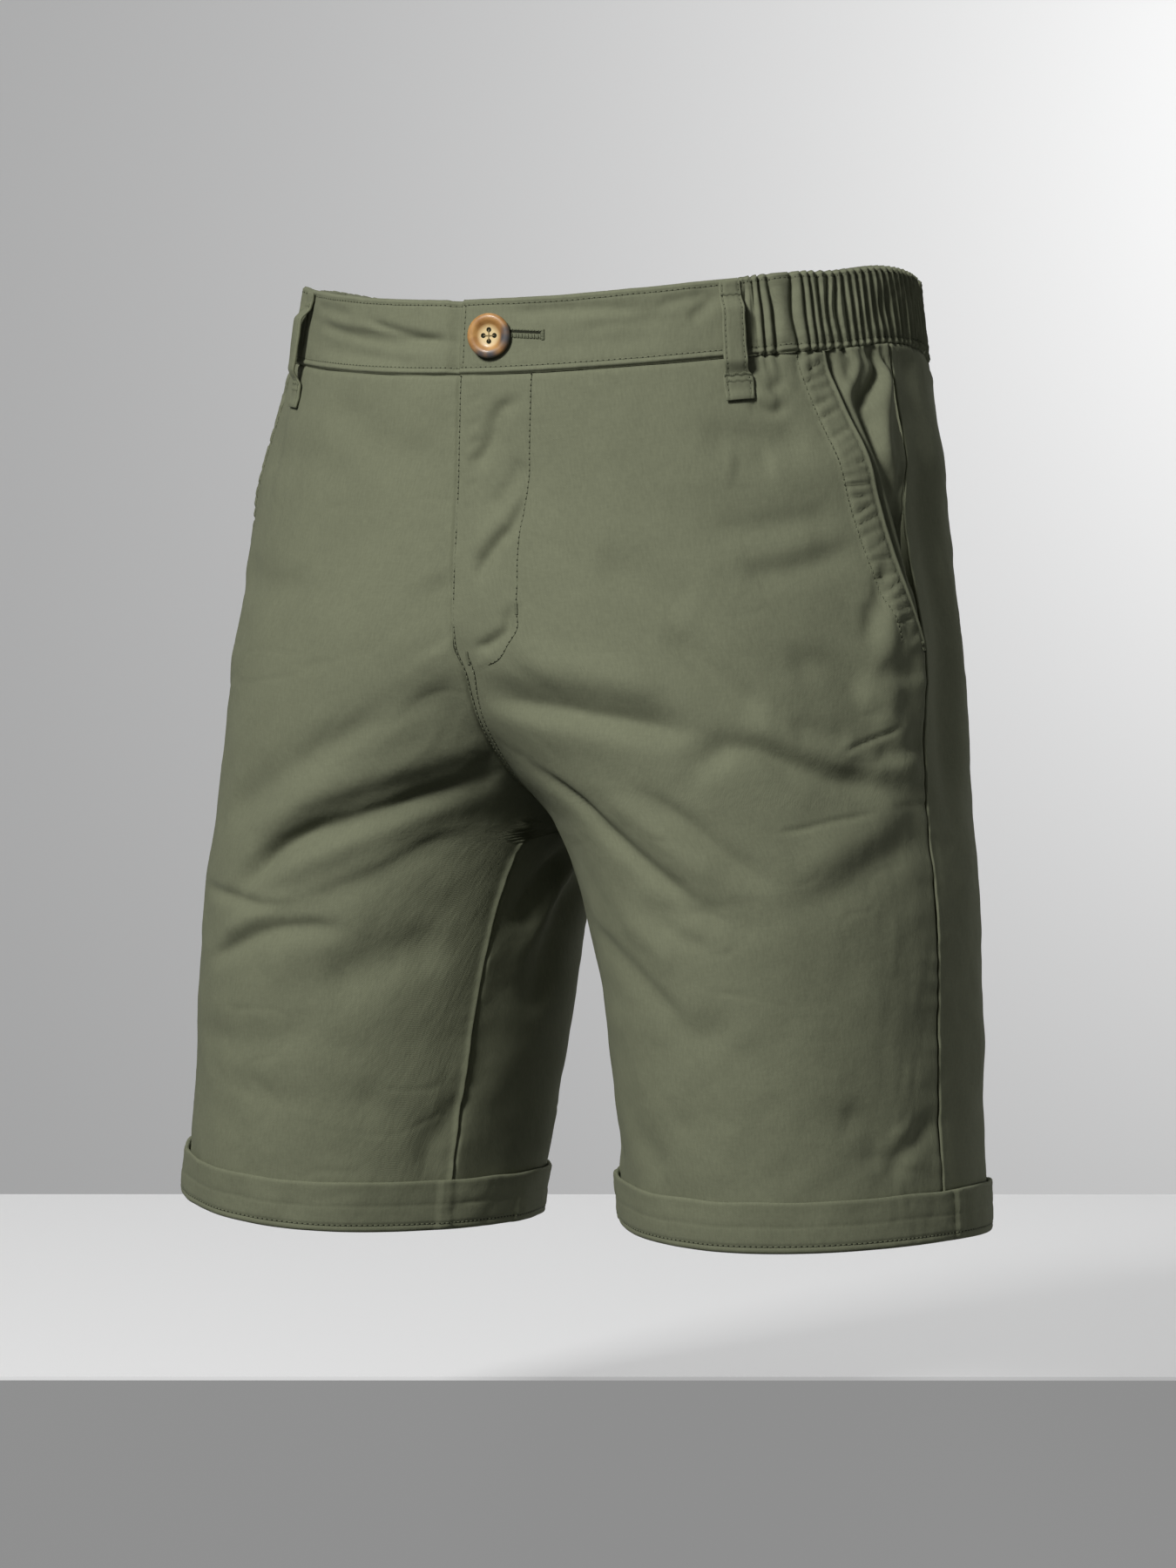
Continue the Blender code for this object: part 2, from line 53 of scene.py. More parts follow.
# height, centre's distance from the middle (share of width), width, forward shift, depth
SECTIONS = np.array([
    (0.018, 0.00, 0.1575, -0.010, 0.137),
    (-0.018, 0.00, 0.1637, -0.008, 0.138),
    (-0.047, 0.00, 0.1722, -0.003, 0.1345),
    (-0.078, 0.00, 0.1808, 0.002, 0.131),
    (-0.134, 0.11, 0.1702, 0.005, 0.133),
    (-0.180, 0.43, 0.135, 0.007, 0.128),
    (-0.214, 0.77, 0.1098, 0.009, 0.120),
    (FORK, 1.00, 0.0985, 0.010, 0.115),
    (-0.285, 1.21, 0.092, 0.013, 0.110),
    (-0.340, 1.34, 0.088, 0.015, 0.107),
    (-0.395, 1.43, 0.086, 0.018, 0.102),
    (HEM, 1.48, 0.086, 0.021, 0.097),
])
APART, WIDTH, AHEAD, DEPTH = 1, 2, 3, 4
WAIST_BACK_DROP, WAIST_SIDE_RISE, WAIST_FRONT_DROP = 0.012, 0.020, 0.0025
HEM_SIDES_RISE, HEM_RIGHT_TILT, HEM_LEFT_TILT = 0.0055, 0.0085, -0.0035


def ease(value):
    """A soft step from 0 to 1."""
    value = np.clip(value, 0.0, 1.0)
    return value * value * (3 - 2 * value)


def mix(start, end, share):
    return start + (end - start) * share


def bump(distance, half_width):
    """A soft rise of 1 where the distance is nought."""
    return np.exp(-(distance / half_width) ** 2)


def size_at(height, column):
    """A column of SECTIONS at any height, on a smooth curve that never overshoots a row."""
    rows, values = SECTIONS[::-1, 0], SECTIONS[::-1, column]
    grade = np.diff(values) / np.diff(rows)
    before, after = grade[:-1], grade[1:]
    same = before * after > 0
    middle = np.where(same, 2 * before * after / np.where(same, before + after, 1.0), 0.0)
    slope = np.concatenate([grade[:1], middle, grade[-1:]])
    height = np.clip(height, rows[0], rows[-1])
    i = np.clip(np.searchsorted(rows, height, side="right") - 1, 0, len(rows) - 2)
    span = rows[i + 1] - rows[i]
    s = (height - rows[i]) / span
    return ((2 * s**3 - 3 * s**2 + 1) * values[i] + (s**3 - 2 * s**2 + s) * span * slope[i]
            + (3 * s**2 - 2 * s**3) * values[i + 1] + (s**3 - s**2) * span * slope[i + 1])


def edge_lift(side, turn, height):
    """How far the waist edge and the hem rise or drop round the form, fading out towards the fork."""
    angle = np.radians(turn)
    near_waist = np.clip((height - FORK) / (BAND_HALF - FORK), 0.0, 1.0)
    near_hem = np.clip((FORK - height) / (FORK - HEM), 0.0, 1.0)
    waist = WAIST_SIDE_RISE * (1 - np.cos(2 * angle)) / 2 - WAIST_BACK_DROP * (1 - np.cos(angle)) / 2
    from_front = np.abs((turn + 180) % 360 - 180)
    waist = waist - WAIST_FRONT_DROP * (1 - ease((from_front - 66) / 22))
    round_waist = (side * turn) % 360
    waist = waist + 0.0024 * bump(round_waist - 94, 20)
    waist = waist - 0.0045 * ease((round_waist - 130) / 45) * ease((306 - round_waist) / 30)
    hem = HEM_SIDES_RISE * np.sin(angle) ** 2 + (HEM_LEFT_TILT if side > 0 else HEM_RIGHT_TILT) * np.sin(angle)
    return near_waist * waist + near_hem * hem


def bare(side, turn, height):
    """Places on the smooth form, before any fold."""
    angle = np.radians(turn)
    width = size_at(height, WIDTH)
    across = size_at(height, APART) * width + width * np.sin(angle)
    back = -size_at(height, AHEAD) - size_at(height, DEPTH) * np.cos(angle)
    return np.stack([side * across, back, height + edge_lift(side, turn, height)], -1)


def radius_at(height):
    return (size_at(height, WIDTH) + size_at(height, DEPTH)) / 2


def soft_noise(across, down, cell, seed):
    """Soft random rises and dips from -1 to 1, about one in each cell."""
    table = np.random.default_rng(seed).uniform(-1, 1, (128, 128))
    x, y = across / cell, down / cell
    column, row = np.floor(x).astype(int), np.floor(y).astype(int)
    fx, fy = ease(x - column), ease(y - row)
    top = mix(table[row % 128, column % 128], table[row % 128, (column + 1) % 128], fx)
    foot = mix(table[(row + 1) % 128, column % 128], table[(row + 1) % 128, (column + 1) % 128], fx)
    return mix(top, foot, fy)


# Drag folds and creases. half widths are above and below the line, depth is minus for a trough,
# all in millimetres; the line is (turn, height in millimetres) from end to end.
FOLDS = [
    # side, above, below, depth, line
    (-1, 5.5, 8, -3.7, [(-49.2, -213), (-43.5, -218), (-34.7, -224), (-25.5, -231), (-15.2, -238),
        (-5.7, -243), (2.1, -249), (10.1, -257), (17.2, -266), (24.4, -275)]),
    (-1, 10, 7, -1, [(-47.9, -210), (-43.3, -215), (-37.3, -219), (-30.3, -224), (-22.8, -229)]),
    (-1, 4, 5, -1.6, [(-12.1, -236), (-1.2, -244), (4.7, -250), (8.9, -259), (13.9, -267), (20.6, -274)]),
    (-1, 11, 10, 4, [(-30.3, -195), (-26.9, -204), (-18.4, -210), (-9.5, -218), (0.8, -228), (10.1, -240),
        (15.9, -252)]),
    (-1, 4.5, 9, -1.5, [(-51.4, -243), (-45.8, -245), (-39.3, -249), (-33.3, -256), (-27, -263),
        (-20.3, -268), (-12.9, -273), (-4.9, -276)]),
    (-1, 9, 8, 2.2, [(-50.1, -225), (-36.8, -230), (-27, -237), (-16.8, -247), (-5.1, -257), (9.3, -268)]),
    (-1, 3, 4, -2.2, [(46.1, -273), (24.2, -276), (11.3, -279), (0.9, -279), (-7.8, -277)]),
    (-1, 4, 6, -2.8, [(34.5, -310), (21.2, -303), (9.7, -295), (1.4, -291), (-7.6, -289), (-16, -289),
        (-22.8, -291)]),
    (-1, 6, 5, 2.2, [(-6.4, -277), (0.9, -279), (10.6, -285), (25.5, -296)]),
    (-1, 12, 12, -3.4, [(-15.5, -318), (-24.4, -311), (-34.3, -305), (-44.1, -300), (-54.3, -297)]),
    (-1, 10, 12, 1.6, [(-32.6, -287), (-18, -296), (-4.6, -306), (4.6, -316)]),
    (-1, 12, 12, -3.6, [(36.4, -238), (19.8, -224), (7.1, -210), (-1.2, -196), (-6.2, -186), (-11.3, -178)]),
    (-1, 12, 12, 1.8, [(-21, -189), (-13.3, -195), (-5, -203), (6.4, -219), (16.8, -230)]),
    (-1, 9, 9, -2.2, [(-9, -172), (-19.2, -180), (-28.4, -190), (-35.8, -200)]),
    (-1, 7, 8, -3.2, [(-37.9, -203), (-43.3, -207), (-49, -211)]),
    (-1, 9, 9, -1.6, [(40.8, -347), (10.2, -347), (-6.7, -343), (-20.5, -333)]),
    (-1, 9, 9, -1.4, [(-27.6, -367), (-38.7, -375), (-50.3, -388), (-56.9, -402)]),
    (-1, 8, 8, -1.2, [(17.9, -368), (-5, -374), (-19.6, -371)]),
    (-1, 12, 14, -2.2, [(64, -64), (33.4, -64), (19.1, -75)]),
    (-1, 9, 11, -1.9, [(63, -116), (42.4, -124), (24.5, -123)]),
    (1, 11, 9, -4.6, [(-20.8, -174), (-9, -177), (0.2, -180), (8.5, -184), (17.1, -187), (24.3, -189),
        (29.8, -190)]),
    (1, 5, 6, -1.7, [(-22, -178), (-10.6, -180), (-0.4, -182), (8.6, -185), (17.1, -188), (25.7, -191)]),
    (1, 11, 11, 3, [(-3.4, -160), (8.3, -162), (16.9, -167), (23.8, -174)]),
    (1, 12, 12, 0.7, [(-15.3, -188), (1.8, -192), (17.2, -194)]),
    (1, 8, 8, -3, [(26.5, -146), (31, -152), (32.8, -161), (35.6, -170), (39.5, -178), (43.1, -183)]),
    (1, 7, 6, -4.4, [(17.5, -218), (20.2, -212), (22.5, -207), (26.3, -203), (30.5, -199), (34.7, -199),
        (38.3, -201), (42.9, -206), (47.8, -210), (53.1, -214), (61.1, -217), (71.7, -219)]),
    (1, 10, 9, 2, [(35.3, -188), (44, -195), (53.8, -204), (62.9, -211)]),
    (1, 6, 7, -2, [(45.2, -193), (50.3, -192), (55.3, -195), (60.8, -196)]),
    (1, 8, 8, -2.6, [(48, -163), (53.6, -161), (58, -163), (63.3, -172), (66.4, -175)]),
    (1, 8, 6, -2.2, [(65, -202), (69.7, -206), (74.8, -206), (78.8, -200), (80.6, -193)]),
    (1, 6, 6, 1.6, [(62.9, -211), (70.8, -212), (77.3, -210), (81.1, -205)]),
    (1, 1.3, 1.3, -1.3, [(56.9, -204), (60.7, -200), (65.5, -197), (70, -194), (73.2, -191)]),
    (1, 4, 4, -1.1, [(68, -134), (67.4, -144), (66.9, -154)]),
    (1, 5, 5, 1.0, [(71.5, -138), (72.1, -147), (70.4, -156), (67, -162)]),
    (1, 4, 4, -0.8, [(75.5, -141), (75.4, -151), (74, -158)]),
    (1, 6, 5, -1.7, [(67.3, -164), (71.2, -167), (75.5, -167), (80.3, -166)]),
    (1, 7, 7, 1.2, [(62.8, -178), (67.2, -180), (69.4, -186), (65.6, -190)]),
    (1, 6, 6, -0.9, [(75.7, -175), (74.1, -183), (71.1, -190)]),
    (1, 1.3, 1.3, -1.1, [(34.2, -239), (42.7, -237), (50.3, -234), (58.1, -232), (64.1, -230)]),
    (1, 8, 10, -1.7, [(82.5, -244), (71.6, -248), (61.3, -256), (53.3, -264), (45, -271), (36.1, -276),
        (26, -280)]),
    (1, 10, 9, 2.8, [(77.4, -225), (68.9, -232), (59.6, -240), (49.4, -249), (38.8, -257)]),
    (1, 6, 7, -2.6, [(1.1, -218), (7.6, -227), (12.5, -235), (16.8, -244), (22.7, -253), (27.9, -259),
        (33.7, -261)]),
    (1, 5, 6, -3.4, [(-28, -204.5), (-26.3, -211.5), (-22.1, -220.5), (-18.9, -227.5), (-15.3, -237.5),
        (-9.9, -246.5), (-3.2, -256.5), (2.4, -264.5), (8.1, -271.5), (12.6, -275.5)]),
    (1, 9, 8, 2.4, [(-7.7, -219), (-3.7, -229), (3.2, -242), (11.1, -256), (18.6, -265)]),
    (1, 5, 9, -1.8, [(-42.7, -287), (-30.1, -295), (-19.6, -305), (-12.6, -313), (-4.9, -323), (1.1, -334)]),
    (1, 8, 8, 1.8, [(-20.7, -279), (-10.2, -291), (-0.4, -305)]),
    (1, 5, 6, -1.2, [(-9, -276), (5.4, -276), (18.7, -274), (28.7, -273)]),
    (1, 4, 5, -1.2, [(-6.3, -280), (-0.8, -285), (3.9, -290), (11.9, -293)]),
    (1, 5, 6, -1.1, [(7.5, -282), (18.1, -281), (27.7, -284)]),
    (1, 8, 9, -2.6, [(38.9, -52), (46.2, -56), (54, -59), (61, -58)]),
    (1, 7, 8, -1.8, [(44.3, -67), (48.1, -69), (52.9, -67)]),
    (1, 6, 8, -1.7, [(40.3, -98), (48.7, -98), (56.9, -96), (65.1, -93)]),
    (1, 6, 7, -2.2, [(43, -119), (52.6, -118), (61.5, -113), (69.2, -109)]),
    (1, 10, 10, 1.4, [(40.6, -108), (51.4, -108), (62, -103)]),
    (1, 10, 11, -2.2, [(20.1, -113), (28.3, -118), (35.8, -135)]),
    (1, 2.5, 3, -1.7, [(49.6, -38), (51.8, -43), (54.3, -45), (56.9, -42)]),
    (1, 4, 4, 1.2, [(51, -36), (53, -38), (55.5, -38)]),
    (1, 3, 3, -1.6, [(53.3, -36), (55.2, -33), (57.1, -29)]),
    (1, 2, 2.5, -1.1, [(50.7, -25), (52.8, -24), (55, -21)]),
    (1, 3.5, 4, -3, [(11.3, -31), (8.9, -32), (6.7, -35), (5.6, -41), (4.8, -49), (3.4, -56), (1.8, -62),
        (0.2, -68)]),
    (1, 4, 5, -1.6, [(10.1, -58), (8.8, -69), (7, -76), (4.9, -86)]),
    (1, 2.4, 3, -3, [(10.8, -76), (9.8, -83), (8.2, -92), (5.9, -98), (3.4, -105), (1.3, -112), (-0.3, -121)]),
    (1, 5, 5, 1.2, [(8, -85), (5.5, -92), (3, -99), (0.5, -108)]),
    (1, 2, 2.4, -2.6, [(5.3, -130), (3.5, -134), (1.8, -141), (-0.8, -145), (-4.6, -149), (-9, -153)]),
    (1, 1.5, 1.6, -1.3, [(-0.5, -34), (1, -32), (2.9, -28)]),
    (1, 1.5, 1.6, -1.4, [(-0.4, -45), (1.1, -43), (2.5, -40)]),
    (1, 1.6, 1.8, -1.5, [(-0.5, -54), (1.1, -52), (2.7, -49)]),
    (1, 1.6, 1.8, -1.4, [(-0.4, -63), (1.2, -60), (2.5, -58)]),
    (1, 1.6, 1.8, -1.3, [(-0.4, -76), (1, -73), (2.2, -69)]),
    (1, 1.6, 1.6, -0.7, [(-0.6, -86), (0.7, -84), (1.8, -80)]),
    (1, 1.0, 1.0, -0.45, [(12.3, -22), (11.7, -46), (10.6, -80), (7.6, -112), (5.1, -131)]),
    (1, 1.2, 0.9, 0.45, [(4.6, -133), (2.5, -142), (-0.8, -150), (-5.4, -156), (-10.6, -159), (-13.9, -161)]),
    (1, 1.6, 1.2, -0.5, [(2.1, -143), (-1.6, -151), (-6.3, -157), (-11.7, -161)]),
    (1, 9, 9, -1.4, [(-9, -332), (3.5, -335), (17.6, -329)]),
    (1, 9, 9, -1.6, [(-54, -370), (-53, -390), (-44.6, -411)]),
    (1, 10, 10, -1.6, [(-33.4, -382), (-21, -392), (-12, -403)]),
    (1, 9, 9, -1.9, [(44.3, -372), (54.8, -381), (56.5, -402)]),
    (1, 6, 6, 1.6, [(63.8, -378), (68, -391), (67.1, -403)]),
    (1, 8, 8, -1.4, [(-9.8, -382), (0.7, -376), (12.7, -371)]),
    (-1, 13, 13, 2.4, [(82, -26), (82, -80), (82, -150), (82, -225)]),
    (-1, 14, 14, 2.0, [(68, -70), (66, -95), (64, -130)]),
    (-1, 12, 14, -2, [(34.8, -27), (19.8, -48), (8.7, -60), (2.8, -64)]),
    (-1, 11, 11, -2.6, [(0.5, -111), (-3.4, -132), (-9.6, -153)]),
    (-1, 1.5, 1.5, 1.7, [(-67.5, -256), (-66.6, -250), (-65.6, -243), (-64.8, -235), (-63.2, -229),
        (-61, -221)]),
    (-1, 7, 9, -4.5, [(-88, -250), (-80, -268), (-74, -292)]),
    (-1, 6, 6, 2.0, [(-94, -256), (-84, -286), (-80, -310)]),
    (-1, 9, 9, -3.0, [(-98, -262), (-92, -300), (-86, -340)]),
    (-1, 12, 12, -3.0, [(-120, -240), (-104, -262), (-96, -300)]),
    (1, 6, 6, -2.4, [(80.2, -374), (72, -385), (64, -397), (58.5, -406)]),
    (-1, 8, 8, -2.2, [(-64.9, -368), (-58.4, -389), (-51.7, -410)]),
    (1, 18, 18, -5, [(91, -48), (92, -82), (93, -118), (94, -150), (95, -200), (95, -245)]),
    (1, 11, 11, 3, [(71.6, -114), (71.7, -138), (70.7, -162), (71.3, -186), (74.7, -210), (75.1, -229)]),
    (1, 5, 5, -2.4, [(73.8, -114), (72.2, -125), (69.9, -138), (67.6, -152)]),
    (1, 4, 4, 1.5, [(64.9, -208), (71.8, -209), (77.3, -205), (79.3, -199)]),
    (-1, 30, 30, 2.6, [(-110, -300), (-112, -360), (-112, -425)]),
    (1, 26, 26, -2.6, [(-58, -290), (-60, -350), (-60, -425)]),
    (1, 12, 12, 1.3, [(112, -78), (112, -98), (112, -118)]),
    (1, 10, 10, -1.5, [(112, -138), (112, -155), (112, -170)]),
    (1, 14, 36, 4, [(68, -24), (72, -70), (76, -115), (80, -160), (82, -215)]),
    (-1, 14, 12, -6.0, [(92, -186), (130, -200), (170, -216), (208, -236)]),
    (-1, 12, 12, 3.0, [(110, -222), (160, -236), (200, -253)]),
    (-1, 13, 11, -4.6, [(108, -252), (150, -258), (195, -264), (238, -270)]),
    (-1, 12, 10, -2.8, [(118, -322), (160, -317), (218, -301)]),
    (-1, 9, 9, -2.0, [(150, -362), (185, -372), (225, -354)]),
    (-1, 10, 12, -2.0, [(110, -100), (135, -104), (165, -100)]),
    (1, 13, 12, -5.6, [(156, -206), (180, -216), (208, -234)]),
    (1, 12, 12, 2.8, [(148, -232), (170, -240), (205, -254)]),
    (1, 12, 11, -4.6, [(160, -262), (190, -260), (240, -251)]),
    (1, 12, 10, -3.0, [(154, -330), (180, -320), (208, -300)]),
    (1, 9, 9, -2.0, [(130, -356), (165, -376), (205, -368)]),
    (1, 10, 12, -2.0, [(146, -100), (158, -102), (172, -100)]),
]


def smooth_line(points, pieces):
    """A list of points, carried along a smooth curve through them."""
    points = np.array(points, float)
    padded = np.vstack([2 * points[0] - points[1], points, 2 * points[-1] - points[-2]])
    out = []
    for i in range(len(points) - 1):
        a, b, c, d = padded[i:i + 4]
        for t in np.arange(pieces) / pieces:
            out.append(0.5 * (2 * b + (c - a) * t + (2 * a - 5 * b + 4 * c - d) * t**2
                              + (3 * b - a - 3 * c + d) * t**3))
    return np.vstack(out + [points[-1]])


def fold_out(side, turn, height, folds):
    """How far the folds of one side move each place out or in."""
    total = np.zeros(np.broadcast(turn, height).shape)
    for fold_side, above, below, depth, line in folds:
        if fold_side != side:
            continue
        line = smooth_line(line, 4)
        middle = line[:, 0].mean()
        radius = radius_at(line[:, 1].mean() / 1000)
        knots = np.stack([np.radians(line[:, 0]) * radius, line[:, 1] / 1000], -1)
        if knots[0, 0] > knots[-1, 0]:
            knots = knots[::-1]
        near_turn = (turn - middle + 180) % 360 - 180 + middle
        x, y = np.radians(near_turn) * radius, height
        reach = 3 * max(above, below) / 1000
        close = ((x > knots[:, 0].min() - reach) & (x < knots[:, 0].max() + reach)
                 & (y > knots[:, 1].min() - reach) & (y < knots[:, 1].max() + reach))
        x, y = x[close], np.broadcast_to(y, close.shape)[close]
        steps = np.linalg.norm(np.diff(knots, axis=0), axis=1)
        run = np.concatenate([[0], np.cumsum(steps)])
        best = np.full(x.shape, 1e9)
        along, over = np.zeros(x.shape), np.ones(x.shape)
        for i, step in enumerate(steps):
            way = (knots[i + 1] - knots[i]) / step
            dx, dy = x - knots[i, 0], y - knots[i, 1]
            t = np.clip(dx * way[0] + dy * way[1], 0, step)
            away = np.hypot(dx - t * way[0], dy - t * way[1])
            nearer = away < best
            best = np.where(nearer, away, best)
            along = np.where(nearer, (run[i] + t) / run[-1], along)
            over = np.where(nearer, way[0] * dy - way[1] * dx, over)
        half = np.where(over > 0, above, below) / 1000
        taper = 0.15 + 0.85 * ease(along / 0.24) * ease((1 - along) / 0.24)
        total[close] += depth / 1000 * taper * bump(best, half)
    return total


ELASTIC_TURN = 50.0


def waist_turn(side, turn):
    """The turn round the whole waist, from 0 at the front through the left side to 360."""
    return turn if side > 0 else 360 - turn


def pleats(turn, height):
    """The elastic's gathers: round upright ridges with narrow valleys, uneven in width and depth."""
    number = turn * 0.42 + 0.75 * soft_noise(turn, height * 0, 7.0, 3) + 0.30 * soft_noise(
        turn, height * 300, 5.0, 4)
    nearest = np.round(number)
    valley = bump(number - nearest, 0.13) * (0.80 + 0.65 * soft_noise(nearest * 7.3, height * 150, 3.0, 5))
    held = ease((turn - ELASTIC_TURN) / 1.5) * ease((360 - ELASTIC_TURN - turn) / 1.5)
    lying = ease((turn - 63) / 4) * ease((128 - turn) / 12)
    share = number - np.floor(number)
    laid_over = np.minimum(share / 0.16, (1 - share) / 0.84) * 1.9 - 0.95
    upright = 0.55 - 0.40 * np.cos(2 * math.pi * number) - 1.35 * valley
    return held * mix(upright, laid_over, 0.85 * lying)


def under_elastic(turn, height):
    """Puckers that the elastic leaves in the cloth below it, which fade out down the hip."""
    drop = np.maximum(-BAND_HALF - height, 0.0)
    held = ease((turn - ELASTIC_TURN + 1) / 5.0) * ease((361 - ELASTIC_TURN - turn) / 5.0)
    small = 0.0008 * pleats(turn, height) * np.exp(-drop / 0.007)
    wide = soft_noise(turn + 25 * drop, height * 9, 6.5, 11) * np.exp(-drop / 0.030)
    wider = soft_noise(turn, height * 9, 13.0, 12) * np.exp(-drop / 0.055)
    return small + held * ease(drop / 0.010) * (0.0021 * wide + 0.0019 * wider)


def crumple(side, turn, height):
    """The soft handling wrinkles of washed twill, strongest low on the legs."""
    across = np.radians(turn) * radius_at(height) + 0.7 * side
    low = ease((-0.16 - height) / 0.12)
    seed = 20 if side > 0 else 40
    broad = soft_noise(across + 0.4 * height, height, 0.034, seed)
    middling = soft_noise(across - 0.3 * height, height * 1.2, 0.016, seed + 1)
    fine = soft_noise(across + 0.2 * height, height * 0.7, 0.0075, seed + 2)
    turn = (turn + 90) % 360 - 90
    by_pocket = (ease((turn - 30) / 20) * ease((88 - turn) / 6)
                 * ease((-0.115 - height) / 0.03) * ease((height + 0.25) / 0.03))
    by_seam = ease((turn - 50) / 14) * ease((86 - turn) / 6) * ease((-0.22 - height) / 0.03)
    upright = soft_noise(across * 2.2 - 0.5 * height, height * 0.45, 0.0085, seed + 3)
    line = bump(soft_noise(across + 0.25 * height, height * 1.5, 0.027, seed + 4), 0.09)
    patch = ease(1.6 * soft_noise(across, height, 0.041, seed + 5)) * ease((-0.03 - height) / 0.04)
    crinkle = soft_noise(across * 0.5 - 0.15 * height, height * 1.4, 0.0062, seed + 6)
    crinkle = crinkle * (0.6 + 0.4 * soft_noise(across, height, 0.03, seed + 7))
    return (0.00065 * broad - 0.00032 * line * patch + 0.00008 * crinkle
            + (0.00022 + 0.00020 * low + 0.00024 * by_pocket) * middling
            + (0.00006 + 0.00009 * low + 0.00010 * by_pocket) * fine + 0.00020 * by_seam * upright)


def cloth(side, turn, height, out=0.0):
    """Places on the outer face of the panels with all their folds, moved out along the normal."""
    turn, height = np.broadcast_arrays(np.asarray(turn, float), np.asarray(height, float))
    here = bare(side, turn, height)
    round_it = bare(side, turn + 0.5, height) - bare(side, turn - 0.5, height)
    up_it = bare(side, turn, height + 0.001) - bare(side, turn, height - 0.001)
    normal = np.cross(round_it, up_it) * side
    normal /= np.linalg.norm(normal, axis=-1, keepdims=True)
    held = 0.25 + 0.75 * ease((-BAND_HALF - 0.002 - height) / 0.02)
    at_fly = ease(np.abs(here[..., 0]) / 0.012)
    moved = (fold_out(side, turn, height, FOLDS) * held + crumple(side, turn, height)) * at_fly
    moved = moved + under_elastic(waist_turn(side, turn), height)
    return here + normal * (out + moved)[..., None]


SIDE_SEAM_TOP, SIDE_SEAM_HIP, SIDE_SEAM_HEM = 85.5, 82.5, 80.3
INSEAM_THIGH, INSEAM_HEM = -67.0, -63.0
INSEAM_SWING = 0.010
MOUTH_TOP_TURN, MOUTH_FOOT, MOUTH_CURVE = 67.0, -0.160, 1.35
FLY_LAP, FLY_FOOT = 0.004, -0.153


def side_seam(height):
    """The turn at which the side seam runs, at each height."""
    above = mix(SIDE_SEAM_TOP, SIDE_SEAM_HIP, ease((-0.050 - height) / 0.080))
    return mix(above, SIDE_SEAM_HEM, ease((FORK - height) / (FORK - HEM)))


def inseam(height):
    """The turn of the inner leg seam, which swings forward below the fork."""
    below = np.maximum(FORK - height, 0.0)
    thigh = mix(-90.0, INSEAM_THIGH, ease(below / INSEAM_SWING))
    return thigh + (INSEAM_HEM - INSEAM_THIGH) * below / (FORK - HEM)


def turn_at(x, height):
    """The turn of a place that stands x out from the middle plane, on the front."""
    share = x / size_at(height, WIDTH) - np.minimum(size_at(height, APART), 1.0)
    return np.degrees(np.arcsin(np.clip(share, -1.0, 1.0)))


def fly_line(height):
    """How far the left front laps over the middle, down to the foot of the fly."""
    return FLY_LAP * ease((height - FLY_FOOT + 0.012) / 0.016)


def pocket_mouth(height):
    """The turn of the slanted pocket edge, from under the band down to the side seam."""
    share = np.clip((-BAND_HALF - height) / (-BAND_HALF - MOUTH_FOOT), 0.0, 1.0)
    return mix(MOUTH_TOP_TURN, side_seam(height), share ** MOUTH_CURVE)


def per_degree(side, turn, height):
    """Metres round the form in one degree of turn."""
    return np.linalg.norm(bare(side, turn + 0.5, height) - bare(side, turn - 0.5, height), axis=-1)


UNDER_FORK = -66.0
EDGE_STEPS = np.array([0.0, 0.3, 0.7, 1.2, 1.8, 2.6, 3.6, 5.0, 7.0]) / 1000


def lay_out(side, inner, outer, height, count):
    """Turns across a panel in each row: closely spaced at both edges, with each one's distance
    from the inner and the outer edge. Where an edge runs in under the fork, only the columns near
    it follow."""
    height = height[:, None]
    inner, outer = inner[:, None], outer[:, None]
    probe = np.linspace(0, 1, 41)[None, :]
    widths = per_degree(side, mix(inner, outer, probe), height) * (outer - inner) / 40
    run = np.concatenate([np.zeros_like(inner), np.cumsum((widths[:, 1:] + widths[:, :-1]) / 2, axis=1)], 1)
    whole = run[:, -1:]
    near = np.minimum(EDGE_STEPS[None, :], whole * 0.4)
    under_inner = whole * np.maximum(UNDER_FORK - inner, 0) / (outer - inner)
    under_outer = whole * np.maximum(outer - 180 + UNDER_FORK, 0) / (outer - inner)
    share = np.linspace(0, 1, count + 1)[None, 1:-1]
    middle = near[:, -1:] + share * (whole - 2 * near[:, -1:] - under_inner - under_outer)
    middle = middle + under_inner * (1 - (1 - np.minimum(share / 0.35, 1)) ** 2)
    middle = middle + under_outer * (1 - np.minimum((1 - share) / 0.35, 1)) ** 2
    distance = np.concatenate([near, middle, whole - near[:, ::-1]], 1)
    turns = np.array([np.interp(d, r, mix(a, b, probe[0])) for d, r, a, b in zip(distance, run, inner, outer)])
    return turns, distance, whole - distance


def add_mesh(name, points, faces, weave, *materials):
    """An object of these points and faces; weave is each face corner's place on the flat cloth."""
    mesh = bpy.data.meshes.new(name)
    faces = faces.tolist() if isinstance(faces, np.ndarray) else faces
    mesh.from_pydata(np.asarray(points).tolist(), [], faces)
    layer = mesh.uv_layers.new(name="weave")
    if weave is not None:
        layer.data.foreach_set("uv", weave.reshape(-1).astype(np.float32))
    mesh.shade_smooth()
    for material in materials:
        mesh.materials.append(material)
    piece = bpy.data.objects.new(name, mesh)
    bpy.context.scene.collection.objects.link(piece)
    return piece


